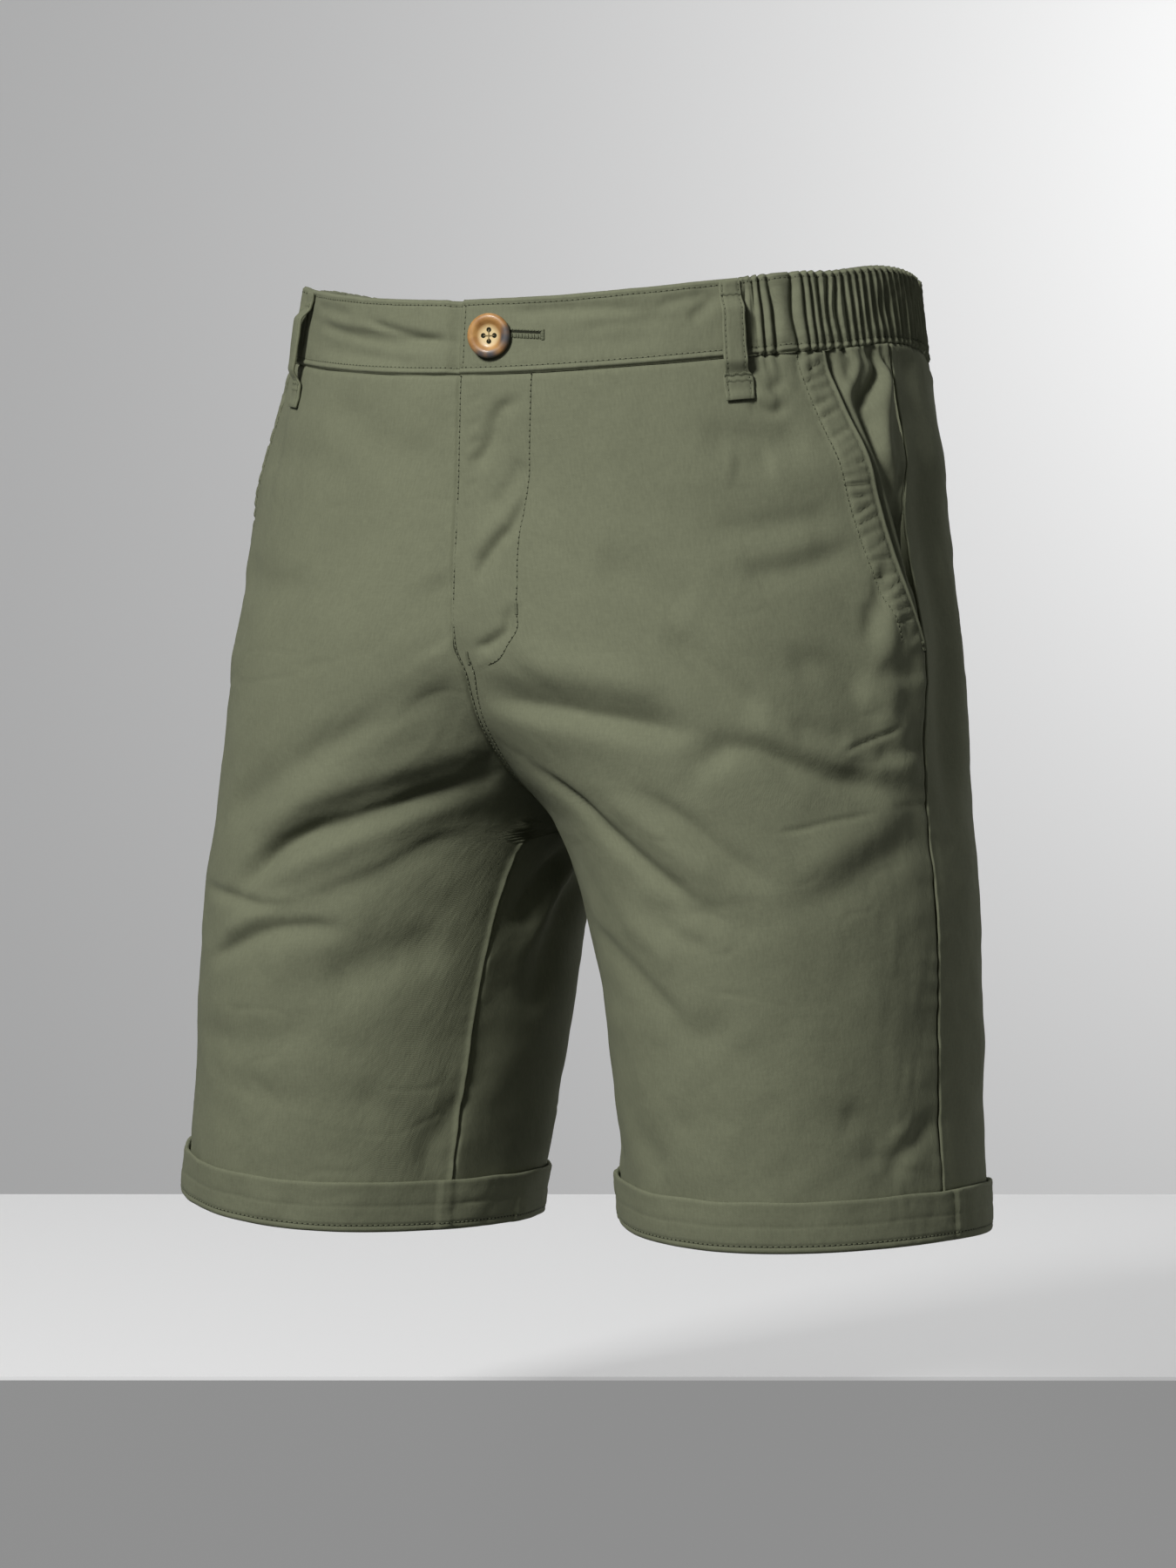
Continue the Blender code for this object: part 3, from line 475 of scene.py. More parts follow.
def lay_cloth(name, places, side, material, thick=PLY):
    """A thin shell on a grid of outer places, with the weave laid out along its rows and columns."""
    rows, columns = places.shape[:2]
    number = np.arange(rows * columns).reshape(rows, columns)
    quads = np.stack([number[:-1, :-1], number[:-1, 1:], number[1:, 1:], number[1:, :-1]], -1)
    quads = quads.reshape(-1, 4)[:, ::-1] if side > 0 else quads.reshape(-1, 4)
    across = np.zeros((rows, columns))
    across[:, 1:] = np.cumsum(np.linalg.norm(np.diff(places, axis=1), axis=-1), axis=1)
    across -= across[:, [columns // 2]]
    down = np.zeros((rows, columns))
    down[1:] = -np.cumsum(np.linalg.norm(np.diff(places, axis=0), axis=-1), axis=0)
    weave = np.stack([across * side, down], -1).reshape(-1, 2)[quads.reshape(-1)]
    piece = add_mesh(name, places.reshape(-1, 3), quads, weave, material)
    shell = piece.modifiers.new("ply", "SOLIDIFY")
    shell.thickness = thick
    shell.offset = -1.0
    return piece


def set_inputs(tree, node, inputs):
    """Each input is given a number or a colour, or is linked to another node's output."""
    for socket, value in inputs.items():
        if isinstance(value, bpy.types.NodeSocket):
            tree.links.new(value, node.inputs[socket])
        elif value is not None:
            node.inputs[socket].default_value = value


def add_node(tree, kind, inputs, **settings):
    """A shader node with its settings and its inputs."""
    node = tree.nodes.new("ShaderNode" + kind)
    for name, value in settings.items():
        setattr(node, name, value)
    set_inputs(tree, node, inputs)
    return node


def new_material(name):
    """A material's node tree, its shader, and the weave's places for its textures."""
    material = bpy.data.materials.new(name)
    material.use_nodes = True
    tree = material.node_tree
    place = add_node(tree, "UVMap", {}, uv_map="weave").outputs["UV"]
    return material, tree, tree.nodes["Principled BSDF"], place


def twill(name, colour, rib=0.00062, slub=1.0, worn=0.10):
    """Washed cotton twill: fine diagonal ribs, slubby yarns, faint uneven dye and a soft nap."""
    material, tree, shader, weave = new_material(name)

    def math_node(operation, first, second=None):
        return add_node(tree, "Math", {0: first, 1: second}, operation=operation).outputs[0]

    def add(first, second):
        return math_node("ADD", first, second)

    def times(first, second):
        return math_node("MULTIPLY", first, second)

    def about(value, middle, strength):
        return times(math_node("SUBTRACT", value, middle), strength)

    def noise(scale, detail, roughness, stretch=(1, 1, 1)):
        spread = add_node(tree, "Mapping", {"Scale": stretch, "Vector": weave}).outputs["Vector"]
        return add_node(tree, "TexNoise", {"Scale": scale, "Detail": detail, "Roughness": roughness,
                                           "Vector": spread}).outputs["Fac"]

    split = add_node(tree, "SeparateXYZ", {"Vector": weave}).outputs
    diagonal = add(times(split["X"], 1.0 / rib), times(split["Y"], 0.62 / rib))
    wobble = times(noise(420.0, 2.0, 0.5), 1.1)
    ribs = math_node("ABSOLUTE", math_node("SINE", times(add(diagonal, wobble), math.pi)))
    yarn = noise(900.0, 2.0, 0.6, (1.0, 0.22, 1.0))
    weft = noise(820.0, 2.0, 0.6, (0.25, 1.0, 1.0))
    crinkle = noise(95.0, 4.0, 0.62, (1.0, 0.75, 1.0))
    dye = noise(22.0, 3.0, 0.55)

    tone = add(about(dye, 0.5, 0.16), about(yarn, 0.5, 0.30 * slub))
    tone = add(tone, about(weft, 0.5, 0.16 * slub))
    tone = add(tone, about(ribs, 0.6, worn))
    tone = add(tone, about(crinkle, 0.5, 0.10))
    shade = add_node(tree, "HueSaturation", {"Color": (*colour, 1.0), "Value": add(tone, 1.0)})
    relief = add(times(ribs, 0.10), times(yarn, 0.10 * slub))
    relief = add(relief, times(crinkle, 0.85))
    bumps = add_node(tree, "Bump", {"Strength": 0.6, "Distance": 0.0009, "Height": relief})
    set_inputs(tree, shader, {
        "Base Color": shade.outputs["Color"], "Normal": bumps.outputs["Normal"],
        "Roughness": add(0.80, times(yarn, 0.16)), "Specular IOR Level": 0.12,
        "Sheen Weight": 0.04, "Sheen Roughness": 0.45, "Sheen Tint": (0.75, 0.80, 0.62, 1.0)})
    return material


def plain(name, colour, roughness, specular=0.1, glow=0.0):
    """One even colour, with a little light of its own where a shaded studio surface has to stay pale."""
    material = bpy.data.materials.new(name)
    material.use_nodes = True
    tree = material.node_tree
    set_inputs(tree, tree.nodes["Principled BSDF"], {
        "Base Color": (*colour, 1.0), "Roughness": roughness, "Specular IOR Level": specular})
    if glow:
        set_inputs(tree, tree.nodes["Principled BSDF"], {
            "Emission Color": (glow, glow, glow, 1.0), "Emission Strength": 1.0})
    return material


def thread(name, colour):
    """Matt spun polyester sewing thread, a little uneven in tone."""
    material, tree, shader, place = new_material(name)
    uneven = add_node(tree, "TexNoise", {"Scale": 300.0, "Vector": place})
    tone = add_node(tree, "MapRange", {"To Min": 0.7, "To Max": 1.3, "Value": uneven.outputs["Fac"]})
    shade = add_node(tree, "HueSaturation", {"Color": (*colour, 1.0), "Value": tone.outputs["Result"]})
    twist = add_node(tree, "TexWave", {"Scale": 900.0, "Vector": place}, bands_direction="DIAGONAL")
    bumps = add_node(tree, "Bump", {"Strength": 0.4, "Distance": 0.0001, "Height": twist.outputs["Fac"]})
    set_inputs(tree, shader, {
        "Base Color": shade.outputs["Color"], "Normal": bumps.outputs["Normal"],
        "Roughness": 0.7, "Specular IOR Level": 0.25})
    return material


# Painted shade: a near-black flat colour for needle holes, the buttonhole's slit and the button's holes, where
# only shade falls.
painted_hole_shade = plain("needle_hole_painted_shade", (0.022, 0.024, 0.015), 0.9)


def sew(name, rows, material, pitch=0.0027, gap=0.0009, wide=0.0006, high=0.00034, pit=0.00048):
    """Stitches as small rounded bars, with a flat disc of painted shade for the needle hole between each and
    the next. A row is its places on the cloth and the same places 1 mm out; a row shorter than two stitches is
    one stitch."""
    hexagon, hole_shade_pits = np.radians(np.arange(0, 360, 60)), []
    ring = np.radians([0.0, 50.0, 90.0, 130.0, 180.0])
    stations, plump = np.array([-0.5, -0.32, 0.32, 0.5]), np.array([0.4, 1.0, 1.0, 0.4])
    points, weave = [], []
    for places, raised in rows:
        run = np.concatenate([[0], np.cumsum(np.linalg.norm(np.diff(places, axis=0), axis=1))])
        count = max(1, round(run[-1] / pitch))
        step = run[-1] / count
        at = (np.arange(count) + 0.5)[:, None] * step + stations * (step - gap)
        here = np.stack([np.interp(at, run, places[:, k]) for k in range(3)], -1)
        above = np.stack([np.interp(at, run, raised[:, k]) for k in range(3)], -1) - here
        above /= np.linalg.norm(above, axis=-1, keepdims=True)
        along = here[:, -1:] - here[:, :1]
        across = np.cross(along, above)
        across /= np.linalg.norm(across, axis=-1, keepdims=True)
        size = plump[None, :, None, None]
        points.append(here[:, :, None] + size * (across[:, :, None] * np.cos(ring)[:, None] * wide / 2
                                                 + above[:, :, None] * (np.sin(ring)[:, None] * high - 0.00004)))
        weave.append(np.stack(np.broadcast_arrays(at[:, :, None], np.arange(5) * 0.0002), -1))
        # Each needle hole is a flat hexagon of painted shade, a hair above the cloth.
        if count > 1 and pit:
            way = along[:, 0] / np.linalg.norm(along[:, 0], axis=-1, keepdims=True)
            hole = np.stack([np.interp(np.arange(count) * step, run, places[:, k]) for k in range(3)], -1)
            hole_shade_pits.append((hole + above[:, 0] * 0.00009)[:, None] + way[:, None] * np.cos(hexagon)[:, None] * pit
                        + across[:, 0][:, None] * np.sin(hexagon)[:, None] * pit * 0.85)
    points, weave = np.concatenate(points), np.concatenate(weave)
    base = np.arange(len(points))[:, None, None] * 20
    quads = [(s * 5 + r, s * 5 + (r + 1) % 5, (s + 1) * 5 + (r + 1) % 5, (s + 1) * 5 + r)
             for s in range(3) for r in range(5)]
    faces = (base + np.array(quads)[None]).reshape(-1, 4).tolist()
    for cap in ([4, 3, 2, 1, 0], [15, 16, 17, 18, 19]):
        faces += (base[:, 0] + np.array(cap)).tolist()
    points, weave, bars = points.reshape(-1, 3), weave.reshape(-1, 2), len(faces)
    if hole_shade_pits:
        hole_shade_pits = np.concatenate(hole_shade_pits)
        faces += (len(points) + np.arange(len(hole_shade_pits))[:, None] * 6 + np.arange(6)).tolist()
        points = np.concatenate([points, hole_shade_pits.reshape(-1, 3)])
        weave = np.concatenate([weave, np.zeros((len(hole_shade_pits) * 6, 2))])
    weave = weave[np.concatenate([np.ravel(face) for face in faces])]
    piece = add_mesh(name, points, faces, weave, material, painted_hole_shade)
    piece.data.polygons.foreach_set("material_index", (np.arange(len(faces)) >= bars).astype(np.int32))
    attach(piece, "root")
    return piece


def on_cloth(side, turn, height, out=0.0):
    """A row of stitches on the panels: its places, and the same 1 mm further out."""
    return cloth(side, turn, height, out), cloth(side, turn, height, out + 0.001)


OLIVE = (0.168, 0.177, 0.114)
olive_twill = twill("olive_twill_face", OLIVE)
olive_thread = thread("olive_thread", (0.150, 0.160, 0.100))
SIDES = [("left", 1), ("right", -1)]
FORK_STITCH = -0.222
SEAM_TOP = -BAND_HALF - 0.001
# The fly's curved stitching, from the band down: turn, height in millimetres.
J_STITCH = [(12.3, -19), (11.7, -46), (10.6, -80), (7.6, -112), (5.1, -131), (3.6, -141), (-1, -150), (-5, -156),
            (-9, -159)]


def beside_middle(height, away):
    """The turn of a place on the left front that stands so far from its edge over the middle."""
    return turn_at(away - fly_line(height), height)


# how far the two rows of stitches stand in from the pocket mouth's edge
HEM_STITCHES = (0.0030, 0.0165)


def mouth_relief(side, height, edge):
    """The pocket's hem: a band 17 mm wide, raised, stitched twice and puckered into rungs between the
    stitches, with a rounded edge."""
    edge_mm = edge * 1000
    band = 1.1 * (1 - ease((edge_mm - 16.2) / 1.8)) + 0.35 * bump(edge_mm - 0.9, 0.8)
    near, far = (1000 * away for away in HEM_STITCHES)
    grooves = -0.70 * bump(edge_mm - near, 0.7) - 0.75 * bump(edge_mm - far, 0.9)
    along = (height + 0.30 * edge) * 1000
    number = along / 5.7 + 0.60 * soft_noise(along, edge_mm * 0, 11.0, 60 + side)
    number = number + 0.05 * (edge_mm - 9) * soft_noise(along, edge_mm * 0, 7.0, 62 + side)
    uneven = 0.75 + 0.6 * soft_noise(np.round(number) * 5.1, edge_mm, 5.0, 64)
    rung = 0.35 - 1.6 * bump(number - np.round(number), 0.12) * uneven
    between = ease((edge_mm - 2.6) / 2.0) * ease((18.0 - edge_mm) / 3.5) * ease((height + 0.168) / 0.03)
    rolled = -1.5 * (1 - ease(edge_mm / 0.9))
    return (band + grooves + 0.95 * between * rung + rolled) / 1000


def seam_under(edge):
    """The sunk edge of the cloth that lies under at a seam."""
    return -0.0009 * bump(edge, 0.0012)


def seam_over(edge, rise=0.0006, reach=0.0020):
    """The pressed edge that stands up beside a seam."""
    stands = rise * ease(edge / 0.0007) * bump(np.maximum(edge - 0.0007, 0), reach)
    return stands - 0.0006 * (1 - ease(edge / 0.0006))


def seam_rucks(along, edge, seed, pitch=0.0052, reach=0.007, deep=0.0003):
    """Small puckers that the stitching draws up along a seam."""
    return deep * soft_noise(along, edge * 0.15, pitch, seed) * np.exp(-edge / reach)


PANEL_TOP, PANEL_FOOT = -BAND_HALF - GAP / 2, HEM + CUFF_LIP + GAP
FRONT_ROWS, FRONT_COLUMNS = 300, 121
for word, side in SIDES:
    height = np.linspace(PANEL_TOP, PANEL_FOOT, FRONT_ROWS)
    lap = fly_line(height) * (-side)
    middle = turn_at(lap + GAP / 2, height)
    inner = np.where(height >= FORK, middle, inseam(height) + GAP / 2 / per_degree(side, inseam(height), height))
    outer = np.where(height > MOUTH_FOOT, pocket_mouth(height), side_seam(height))
    outer = outer - GAP / 2 / per_degree(side, outer, height)
    turns, from_inner, from_outer = lay_out(side, inner, outer, height, FRONT_COLUMNS)
    tall = height[:, None]
    above_fork = ease((tall - FORK + 0.004) / 0.008)
    at_mouth = ease((tall - MOUTH_FOOT) / 0.006)
    at_fly = ease((tall - FLY_FOOT) / 0.010)
    on_top = seam_over(from_inner, 0.0010, 0.010) if side > 0 else seam_under(from_inner) * 1.3
    relief = above_fork * (at_fly * on_top + (1 - at_fly) * (
        seam_over(from_inner, 0.0006, 0.004) if side > 0 else seam_under(from_inner)))
    relief += ease((FORK - 0.013 - tall) / 0.007) * seam_over(from_inner, 0.0011, 0.0016)
    relief += at_mouth * mouth_relief(side, tall, from_outer)
    relief += (1 - at_mouth) * (seam_under(from_outer) + seam_rucks(tall, from_outer, 70 + side))
    relief += seam_rucks(tall, from_inner, 72 + side, 0.006, 0.006, 0.00022)
    relief += -0.0011 * bump(-BAND_HALF - tall, 0.0013)
    panel = lay_cloth(f"front_{word}_cloth", cloth(side, turns, tall, relief), side, olive_twill)
    rows = []
    for away in HEM_STITCHES:
        high = np.linspace(SEAM_TOP, MOUTH_FOOT + 0.006, 400)
        turn = pocket_mouth(high) - away / per_degree(side, pocket_mouth(high), high)
        rows.append(on_cloth(side, turn, high, mouth_relief(side, high, away)))
    foot = np.linspace(MOUTH_FOOT + 0.0015, MOUTH_FOOT + 0.0065, 12)
    for shift in (-0.3, 0.3):
        rows.append(on_cloth(side, pocket_mouth(foot) - 1.4 + shift, foot, mouth_relief(side, foot, 0.004)))
    if side > 0:
        high = np.linspace(SEAM_TOP, FORK_STITCH, 500)
        rows.append(on_cloth(1, beside_middle(high, 0.0019), high, 0.0009))
        high = np.linspace(FLY_FOOT - 0.003, FORK_STITCH, 200)
        wide = mix(0.0072, 0.0046, ease((FLY_FOOT - high) / 0.03))
        rows.append(on_cloth(1, beside_middle(high, wide), high, 0.0003))
        bend = smooth_line(J_STITCH, 40)
        rows.append(on_cloth(1, bend[:, 0], bend[:, 1] / 1000, 0.0001))
    stitches = sew(f"front_{word}_stitches", rows, olive_thread)
    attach(panel, "root")
    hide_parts(f"front_{word}")

# Two short bar tacks hold the foot of the fly and the bend of its stitching.
tacks = []
for turn, high, low, lean in [(-10.7, -0.1525, -0.1585, -2.4), (5.3, -0.129, -0.134, -0.6)]:
    for height in np.linspace(high, low, 12):
        place = np.array([turn - 0.28, turn + 0.28]) + lean * (high - height) / (high - low)
        tacks.append(on_cloth(1, place, np.array([height, height - 0.0003]), 0.0004))
sew("fly_bar_tacks", tacks, olive_thread, gap=0.0, wide=0.0006, high=0.0004)


# ---------------------------------------------------------------- back panels
# Two twill backs, joined down the middle and to the fronts at the sides and inner legs. The back
# edge of each side seam is pressed over, so it stands up as a fine light ridge, and the seat seam is
# stitched twice.
BACK_ROWS, BACK_COLUMNS = 216, 109
for word, side in SIDES:
    height = np.linspace(PANEL_TOP, PANEL_FOOT, BACK_ROWS)
    inner = side_seam(height)
    inner = inner + GAP / 2 / per_degree(side, inner, height)
    middle = 180 - turn_at(GAP / 2 + 0 * height, height)
    outer = np.where(height >= FORK, middle,
                     360 + inseam(height) - GAP / 2 / per_degree(side, inseam(height), height))
    turns, from_inner, from_outer = lay_out(side, inner, outer, height, BACK_COLUMNS)
    tall = height[:, None]
    above_fork = ease((tall - FORK + 0.004) / 0.008)
    relief = mix(0.60, 0.20, ease((tall + 0.21) / 0.05)) * seam_over(from_inner)
    relief += seam_rucks(tall, from_inner, 80 + side)
    relief += above_fork * (seam_over(from_outer, 0.0006, 0.004) if side > 0 else seam_under(from_outer))
    relief += (1 - above_fork) * seam_under(from_outer)
    relief += seam_rucks(tall, from_outer, 82 + side, 0.006, 0.007, 0.0003)
    relief += -0.0009 * bump(-BAND_HALF - tall, 0.0013)
    panel = lay_cloth(f"back_{word}_cloth", cloth(side, turns, tall, relief), side, olive_twill)
    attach(panel, "root")
    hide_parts(f"back_{word}")
    stitches = []
    if side > 0:
        high = np.linspace(SEAM_TOP, FORK_STITCH, 500)
        rows = [on_cloth(1, 180 - turn_at(away + 0 * high, high), high, 0.0005) for away in (0.0016, 0.0064)]
        stitches = [sew("back_left_stitches", rows, olive_thread)]


# ---------------------------------------------------------------- slant pockets
# Behind each slanted mouth lies a hip facing of the same twill, painted 4% darker as shade, gathered by the
# elastic into a few bold upright folds, and behind that a bag of thin cotton sewn into the side and waist
# seams. Its folds are written as the panels' are.
FACING_UNDER = 6.0
FACING_SUNK = 0.0020
BAG_INNER_TURN, BAG_FOOT = 22.0, -0.205
BAG_SUNK, BAG_PLY = 0.0046, 0.0006

facing_folds = [
    (1, 6, 4.5, -6, [(72.3, -30), (73, -41), (73.9, -52), (74.7, -63), (76.4, -76), (80.2, -97),
        (81.7, -119), (81.3, -139)]),
    (1, 3, 3, 2.4, [(72.6, -17), (74.1, -26), (72.4, -34), (69.6, -40)]),
    (1, 1.4, 1.4, -2.2, [(69.6, -15), (72.4, -20), (73.6, -27)]),
    (1, 4.5, 4, -4.2, [(77.1, -15), (80.0, -23), (80.2, -31), (77, -39), (72.6, -46)]),
    (1, 6, 6, 3.2, [(81.0, -19), (82.6, -33), (79.6, -49), (77.3, -64), (77.4, -82)]),
    (1, 2, 2, -3.2, [(81.5, -17), (83.4, -27), (84.8, -40), (85.2, -54), (84.6, -60)]),
    (1, 4, 4, -1.8, [(82.6, -70), (82.0, -90), (81.6, -110)]),
    (-1, 7, 7, -3.6, [(70, -16), (72, -34), (70, -54)]),
    (-1, 7, 8, 2.4, [(77, -34), (78, -54), (77, -80)]),
    (-1, 6, 6, -3.0, [(82, -16), (82, -40), (81, -66)]),
]
# The facing's twill is the olive made 4% darker: painted shade for the recessed facing and the fly shield behind
# the lap.
painted_shade_twill = twill("olive_twill_facing_painted_shade", tuple(0.96 * c for c in OLIVE))
pocketing = twill("pocket_cotton_plain", (0.235, 0.240, 0.185), rib=0.0004, slub=0.7, worn=0.05)
for word, side in SIDES:
    height = np.linspace(PANEL_TOP, MOUTH_FOOT + 0.004, 90)
    mouth = pocket_mouth(height)
    seam = side_seam(height)
    outer = np.maximum(seam - GAP / 2 / per_degree(side, seam, height), mouth - FACING_UNDER + 0.5)
    turns, from_inner, from_outer = lay_out(side, mouth - FACING_UNDER, outer, height, 34)
    tall = height[:, None]
    clear = ease((turns - mouth[:, None] - 0.3) / 2.2)
    folds = fold_out(side, turns, tall, facing_folds)
    relief = -FACING_SUNK * (1 - clear) + np.minimum(folds, 0) + clear * np.maximum(folds, 0)
    relief -= 0.0008 * (1 - clear) + (1 - clear) * np.maximum(under_elastic(waist_turn(side, turns), tall), 0)
    relief += clear * seam_under(from_outer) + clear * seam_rucks(tall, from_outer, 76 + side)
    facing = lay_cloth(f"hip_facing_{word}_cloth", cloth(side, turns, tall, relief), side, painted_shade_twill)
    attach(facing, "root")
    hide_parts(f"hip_facing_{word}")

    down = np.linspace(0, 1, 60)[:, None]
    over = np.linspace(0, 1, 46)[None, :]
    foot = mix(BAG_FOOT + 0.050, BAG_FOOT, ease(over / 0.35))
    tall = mix(PANEL_TOP, foot, down)
    turns = mix(BAG_INNER_TURN, SIDE_SEAM_HIP - 0.5, over) + 0 * down
    turns = np.minimum(turns, side_seam(tall) - 0.4)
    slack = 0.006 * np.sin(math.pi * down) * np.sin(math.pi * over)
    slack = slack + 0.0012 * (1 + soft_noise(turns * 2.5, tall * 900, 14.0, 90 + side)) * np.sin(math.pi * down)
    slack = slack - np.minimum(fold_out(side, turns, tall, facing_folds), 0) * (down > 0)
    places = cloth(side, turns, tall, -BAG_SUNK - slack)
    bag = lay_cloth(f"pocket_bag_{word}_cloth", places, side, pocketing, BAG_PLY)
    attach(bag, "root")
    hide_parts(f"pocket_bag_{word}")


# ---------------------------------------------------------------- fly
# The left front laps over the right in front, and is stitched down along a curved line. Behind the lap
# lie the closed zip's woven cotton tape and a shield of the same twill painted 4% darker as shade, both sewn
# into the waist seam.
FLY_WIDE, FLY_STRIP_FOOT = 0.040, -0.142
zip_cotton = twill("zip_tape_woven", (0.110, 0.118, 0.075), rib=0.0008, slub=0.4, worn=0.05)
for name, left, right, out, node, material, thick in [
    ("fly_zip_tape", -0.010, 0.020, -0.0030, "fly_zip", zip_cotton, 0.0008),
    ("fly_shield_cloth", -0.010, FLY_WIDE, -0.0046, "fly_shield", painted_shade_twill, PLY),
]:
    height = np.linspace(SEAM_TOP, FLY_STRIP_FOOT, 60)[:, None]
    x = np.linspace(left, right, 26)[None, :]
    turns = turn_at(np.abs(x), height)
    places = np.where((x >= 0)[..., None], cloth(1, turns, height, out), cloth(-1, turns, height, out))
    strip = lay_cloth(name, places, 1, material, thick)
    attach(strip, "root")
    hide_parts(node)


# ---------------------------------------------------------------- waistband
# A folded band of twill: flat in front, where the left end laps over the right, and drawn up over
# wide elastic round the back into upright gathers. Its edges are rolled and stitched.
BAND_OUT, BAND_WALL = 0.0006, 0.0024
UNDERLAP = 0.034
band_radius = SECTIONS[0][WIDTH]
band_wrinkles = [
    # side, above, below, depth, line
    (1, 4, 3, -1.8, [(6, 13), (12, 11), (18, 11), (26, 10), (34, 7)]),
    (1, 3, 3, -1.3, [(34, 9), (40, 11), (45, 13)]),
    (1, 3, 4, -1.2, [(40, 0), (43, 6), (46, 12)]),
    (1, 5, 5, -0.8, [(16, -7), (26, -6), (36, -6)]),
    (1, 3, 3, -0.8, [(20, 1), (28, 2), (38, 3)]),
    (-1, 3, 3, -2.4, [(44, 4), (36, 2), (24, -1), (12, -3), (3, -4)]),
    (-1, 1.2, 1.4, -1.0, [(30, 3), (20, 1), (10, -1), (2, -2)]),
    (-1, 2.2, 2.2, -2.2, [(24, 7), (16, 3), (9, 0), (3, -1)]),
    (-1, 3, 3, -1.2, [(44, 11), (36, 10), (28, 9)]),
    (-1, 8, 5, -2.2, [(42, -8), (28, -9), (12, -10)]),
    (-1, 4, 4, 0.8, [(40, 6), (30, 4), (18, 0)]),
    (-1, 3, 3, -0.7, [(30, -9), (18, -12), (8, -13)]),
]


def band_turns(start, end, count):
    """Turns along a band, closely spaced at its two ends."""
    degree = band_radius * math.radians(1)
    near = EDGE_STEPS / degree
    middle = np.linspace(start + near[-1], end - near[-1], count)[1:-1]
    return np.concatenate([start + near, middle, end - near[::-1]])


# how far each row of the band's grid lies down from its top edge
BAND_ROWS = np.concatenate([
    [-0.5, 0.0, 0.3, 0.7, 1.2, 1.8, 2.4, 3.2, 4.2], np.linspace(5.5, 30.5, 20),
    [31.8, 32.8, 33.6, 34.2, 34.8, 35.3, 35.7, 36.0, 36.2]]) / 1000


def band_face(turns, down, extra, ends=(), out=0.0):
    """Places on a band's outer face, so far down from its top: the edges and the finished ends are
    rolled, and the stitches lie in shallow grooves."""
    turns, down = turns + 0 * down, down + 0 * turns
    tall, foot = BAND_HALF - down, (2 * BAND_HALF - down) * 1000
    over = -1.4 * (1 - ease((down * 1000 + 0.5) / 1.3)) - 1.3 * (1 - ease((foot + 0.2) / 1.3))
    over = over + 0.42 * bump(foot - 1.4, 0.9)
    over = over - 0.30 * bump(foot - 3.3, 0.7) - 0.30 * bump(down * 1000 - 2.3, 0.6)
    for end in ends:
        away = np.abs(turns - end) * band_radius * math.radians(1) * 1000
        over = over - 1.2 * (1 - ease(away / 1.0)) + 0.3 * bump(away - 1.3, 0.7) - 0.25 * bump(away - 2.7, 0.6)
    folds = extra(turns, tall, down)
    tall = tall + 0.55 * np.clip(folds, -0.001, 0.0012) * bump(down, 0.004)
    return cloth(1, turns, tall, BAND_OUT + 0.0002 + over / 1000 + folds + out)


def on_face(face, *places):
    """A row of stitches on any face: its places, and the same 1 mm further out."""
    return [face(*places, out) for out in (0.0, 0.001)]


def band_piece(name, turns, node, extra, ends=()):
    """One band with its stitches: a row along each long edge, and one along each finished end."""
    rows = [(turns, 0.0023 + 0 * turns), (turns, 2 * BAND_HALF - 0.0033 + 0 * turns)]
    for end in ends:
        high = np.linspace(0.003, 2 * BAND_HALF - 0.003, 60)
        inside = math.copysign(2.7 / (band_radius * math.radians(1) * 1000), turns.mean() - end)
        rows.append((end + inside + 0 * high, high))
    sewn = []
    for turn, down in rows:
        coarse, fine = (np.linspace(0, 1, times * len(turn)) for times in (1, 4))
        turn, down = np.interp(fine, coarse, turn), np.interp(fine, coarse, down)
        sewn.append(on_face(band_face, turn, down, extra, ends))
    stitches = sew(f"{node}_stitches", sewn, olive_thread)
    places = band_face(turns[None, :], BAND_ROWS[:, None], extra, ends)
    band = lay_cloth(name, places, 1, olive_twill, BAND_WALL - 0.0004)
    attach(band, "root")
    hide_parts(node)
    return band, stitches


def flat_band(turns, height, down):
    """The flat front of the band: its own creases, a little looseness, and puckers by the stitches."""
    signed = (turns + 180) % 360 - 180
    along = signed * 2.8
    creased = np.where(signed > 0, fold_out(1, signed, height, band_wrinkles),
                       fold_out(-1, -signed, height, band_wrinkles))
    loose = 0.00028 * soft_noise(along, height * 1000, 17.0, 31)
    loose = loose + 0.00012 * soft_noise(along, height * 1000, 6.0, 32)
    by_stitches = bump(down - 0.0335, 0.0022) + bump(down - 0.0025, 0.0022)
    return creased + loose + 0.00016 * soft_noise(along, height * 200, 2.9, 33) * by_stitches


def under_lap_band(turns, height, down):
    """The right end, which steps back to lie behind the left one."""
    signed = (turns + 180) % 360 - 180
    reach, rest = (math.degrees(math.asin(x / band_radius)) for x in (-0.013, -FLY_LAP - 0.0012))
    return flat_band(turns, height, down) - (BAND_WALL + GAP + 0.0006) * ease((signed - reach) / (rest - reach))


def gathered_band(turns, height, down):
    """The gathered back, pulled in along its two rows of stitches."""
    corner = 0.0014 * bump(turns - 62, 7) - 0.0022 * bump(turns - 86, 18)
    foot = 2 * BAND_HALF - down
    cinched = 1 - 0.45 * bump(foot - 0.001, 0.004) - 0.30 * bump(down - 0.001, 0.003)
    return corner + 0.0011 * pleats(turns, height) * cinched + 0.0004 * soft_noise(turns, height * 300, 3.0, 35)


def turn_on_band(x):
    """The turn of a place on the band that stands x out from the middle plane."""
    return math.degrees(math.asin(x / band_radius))


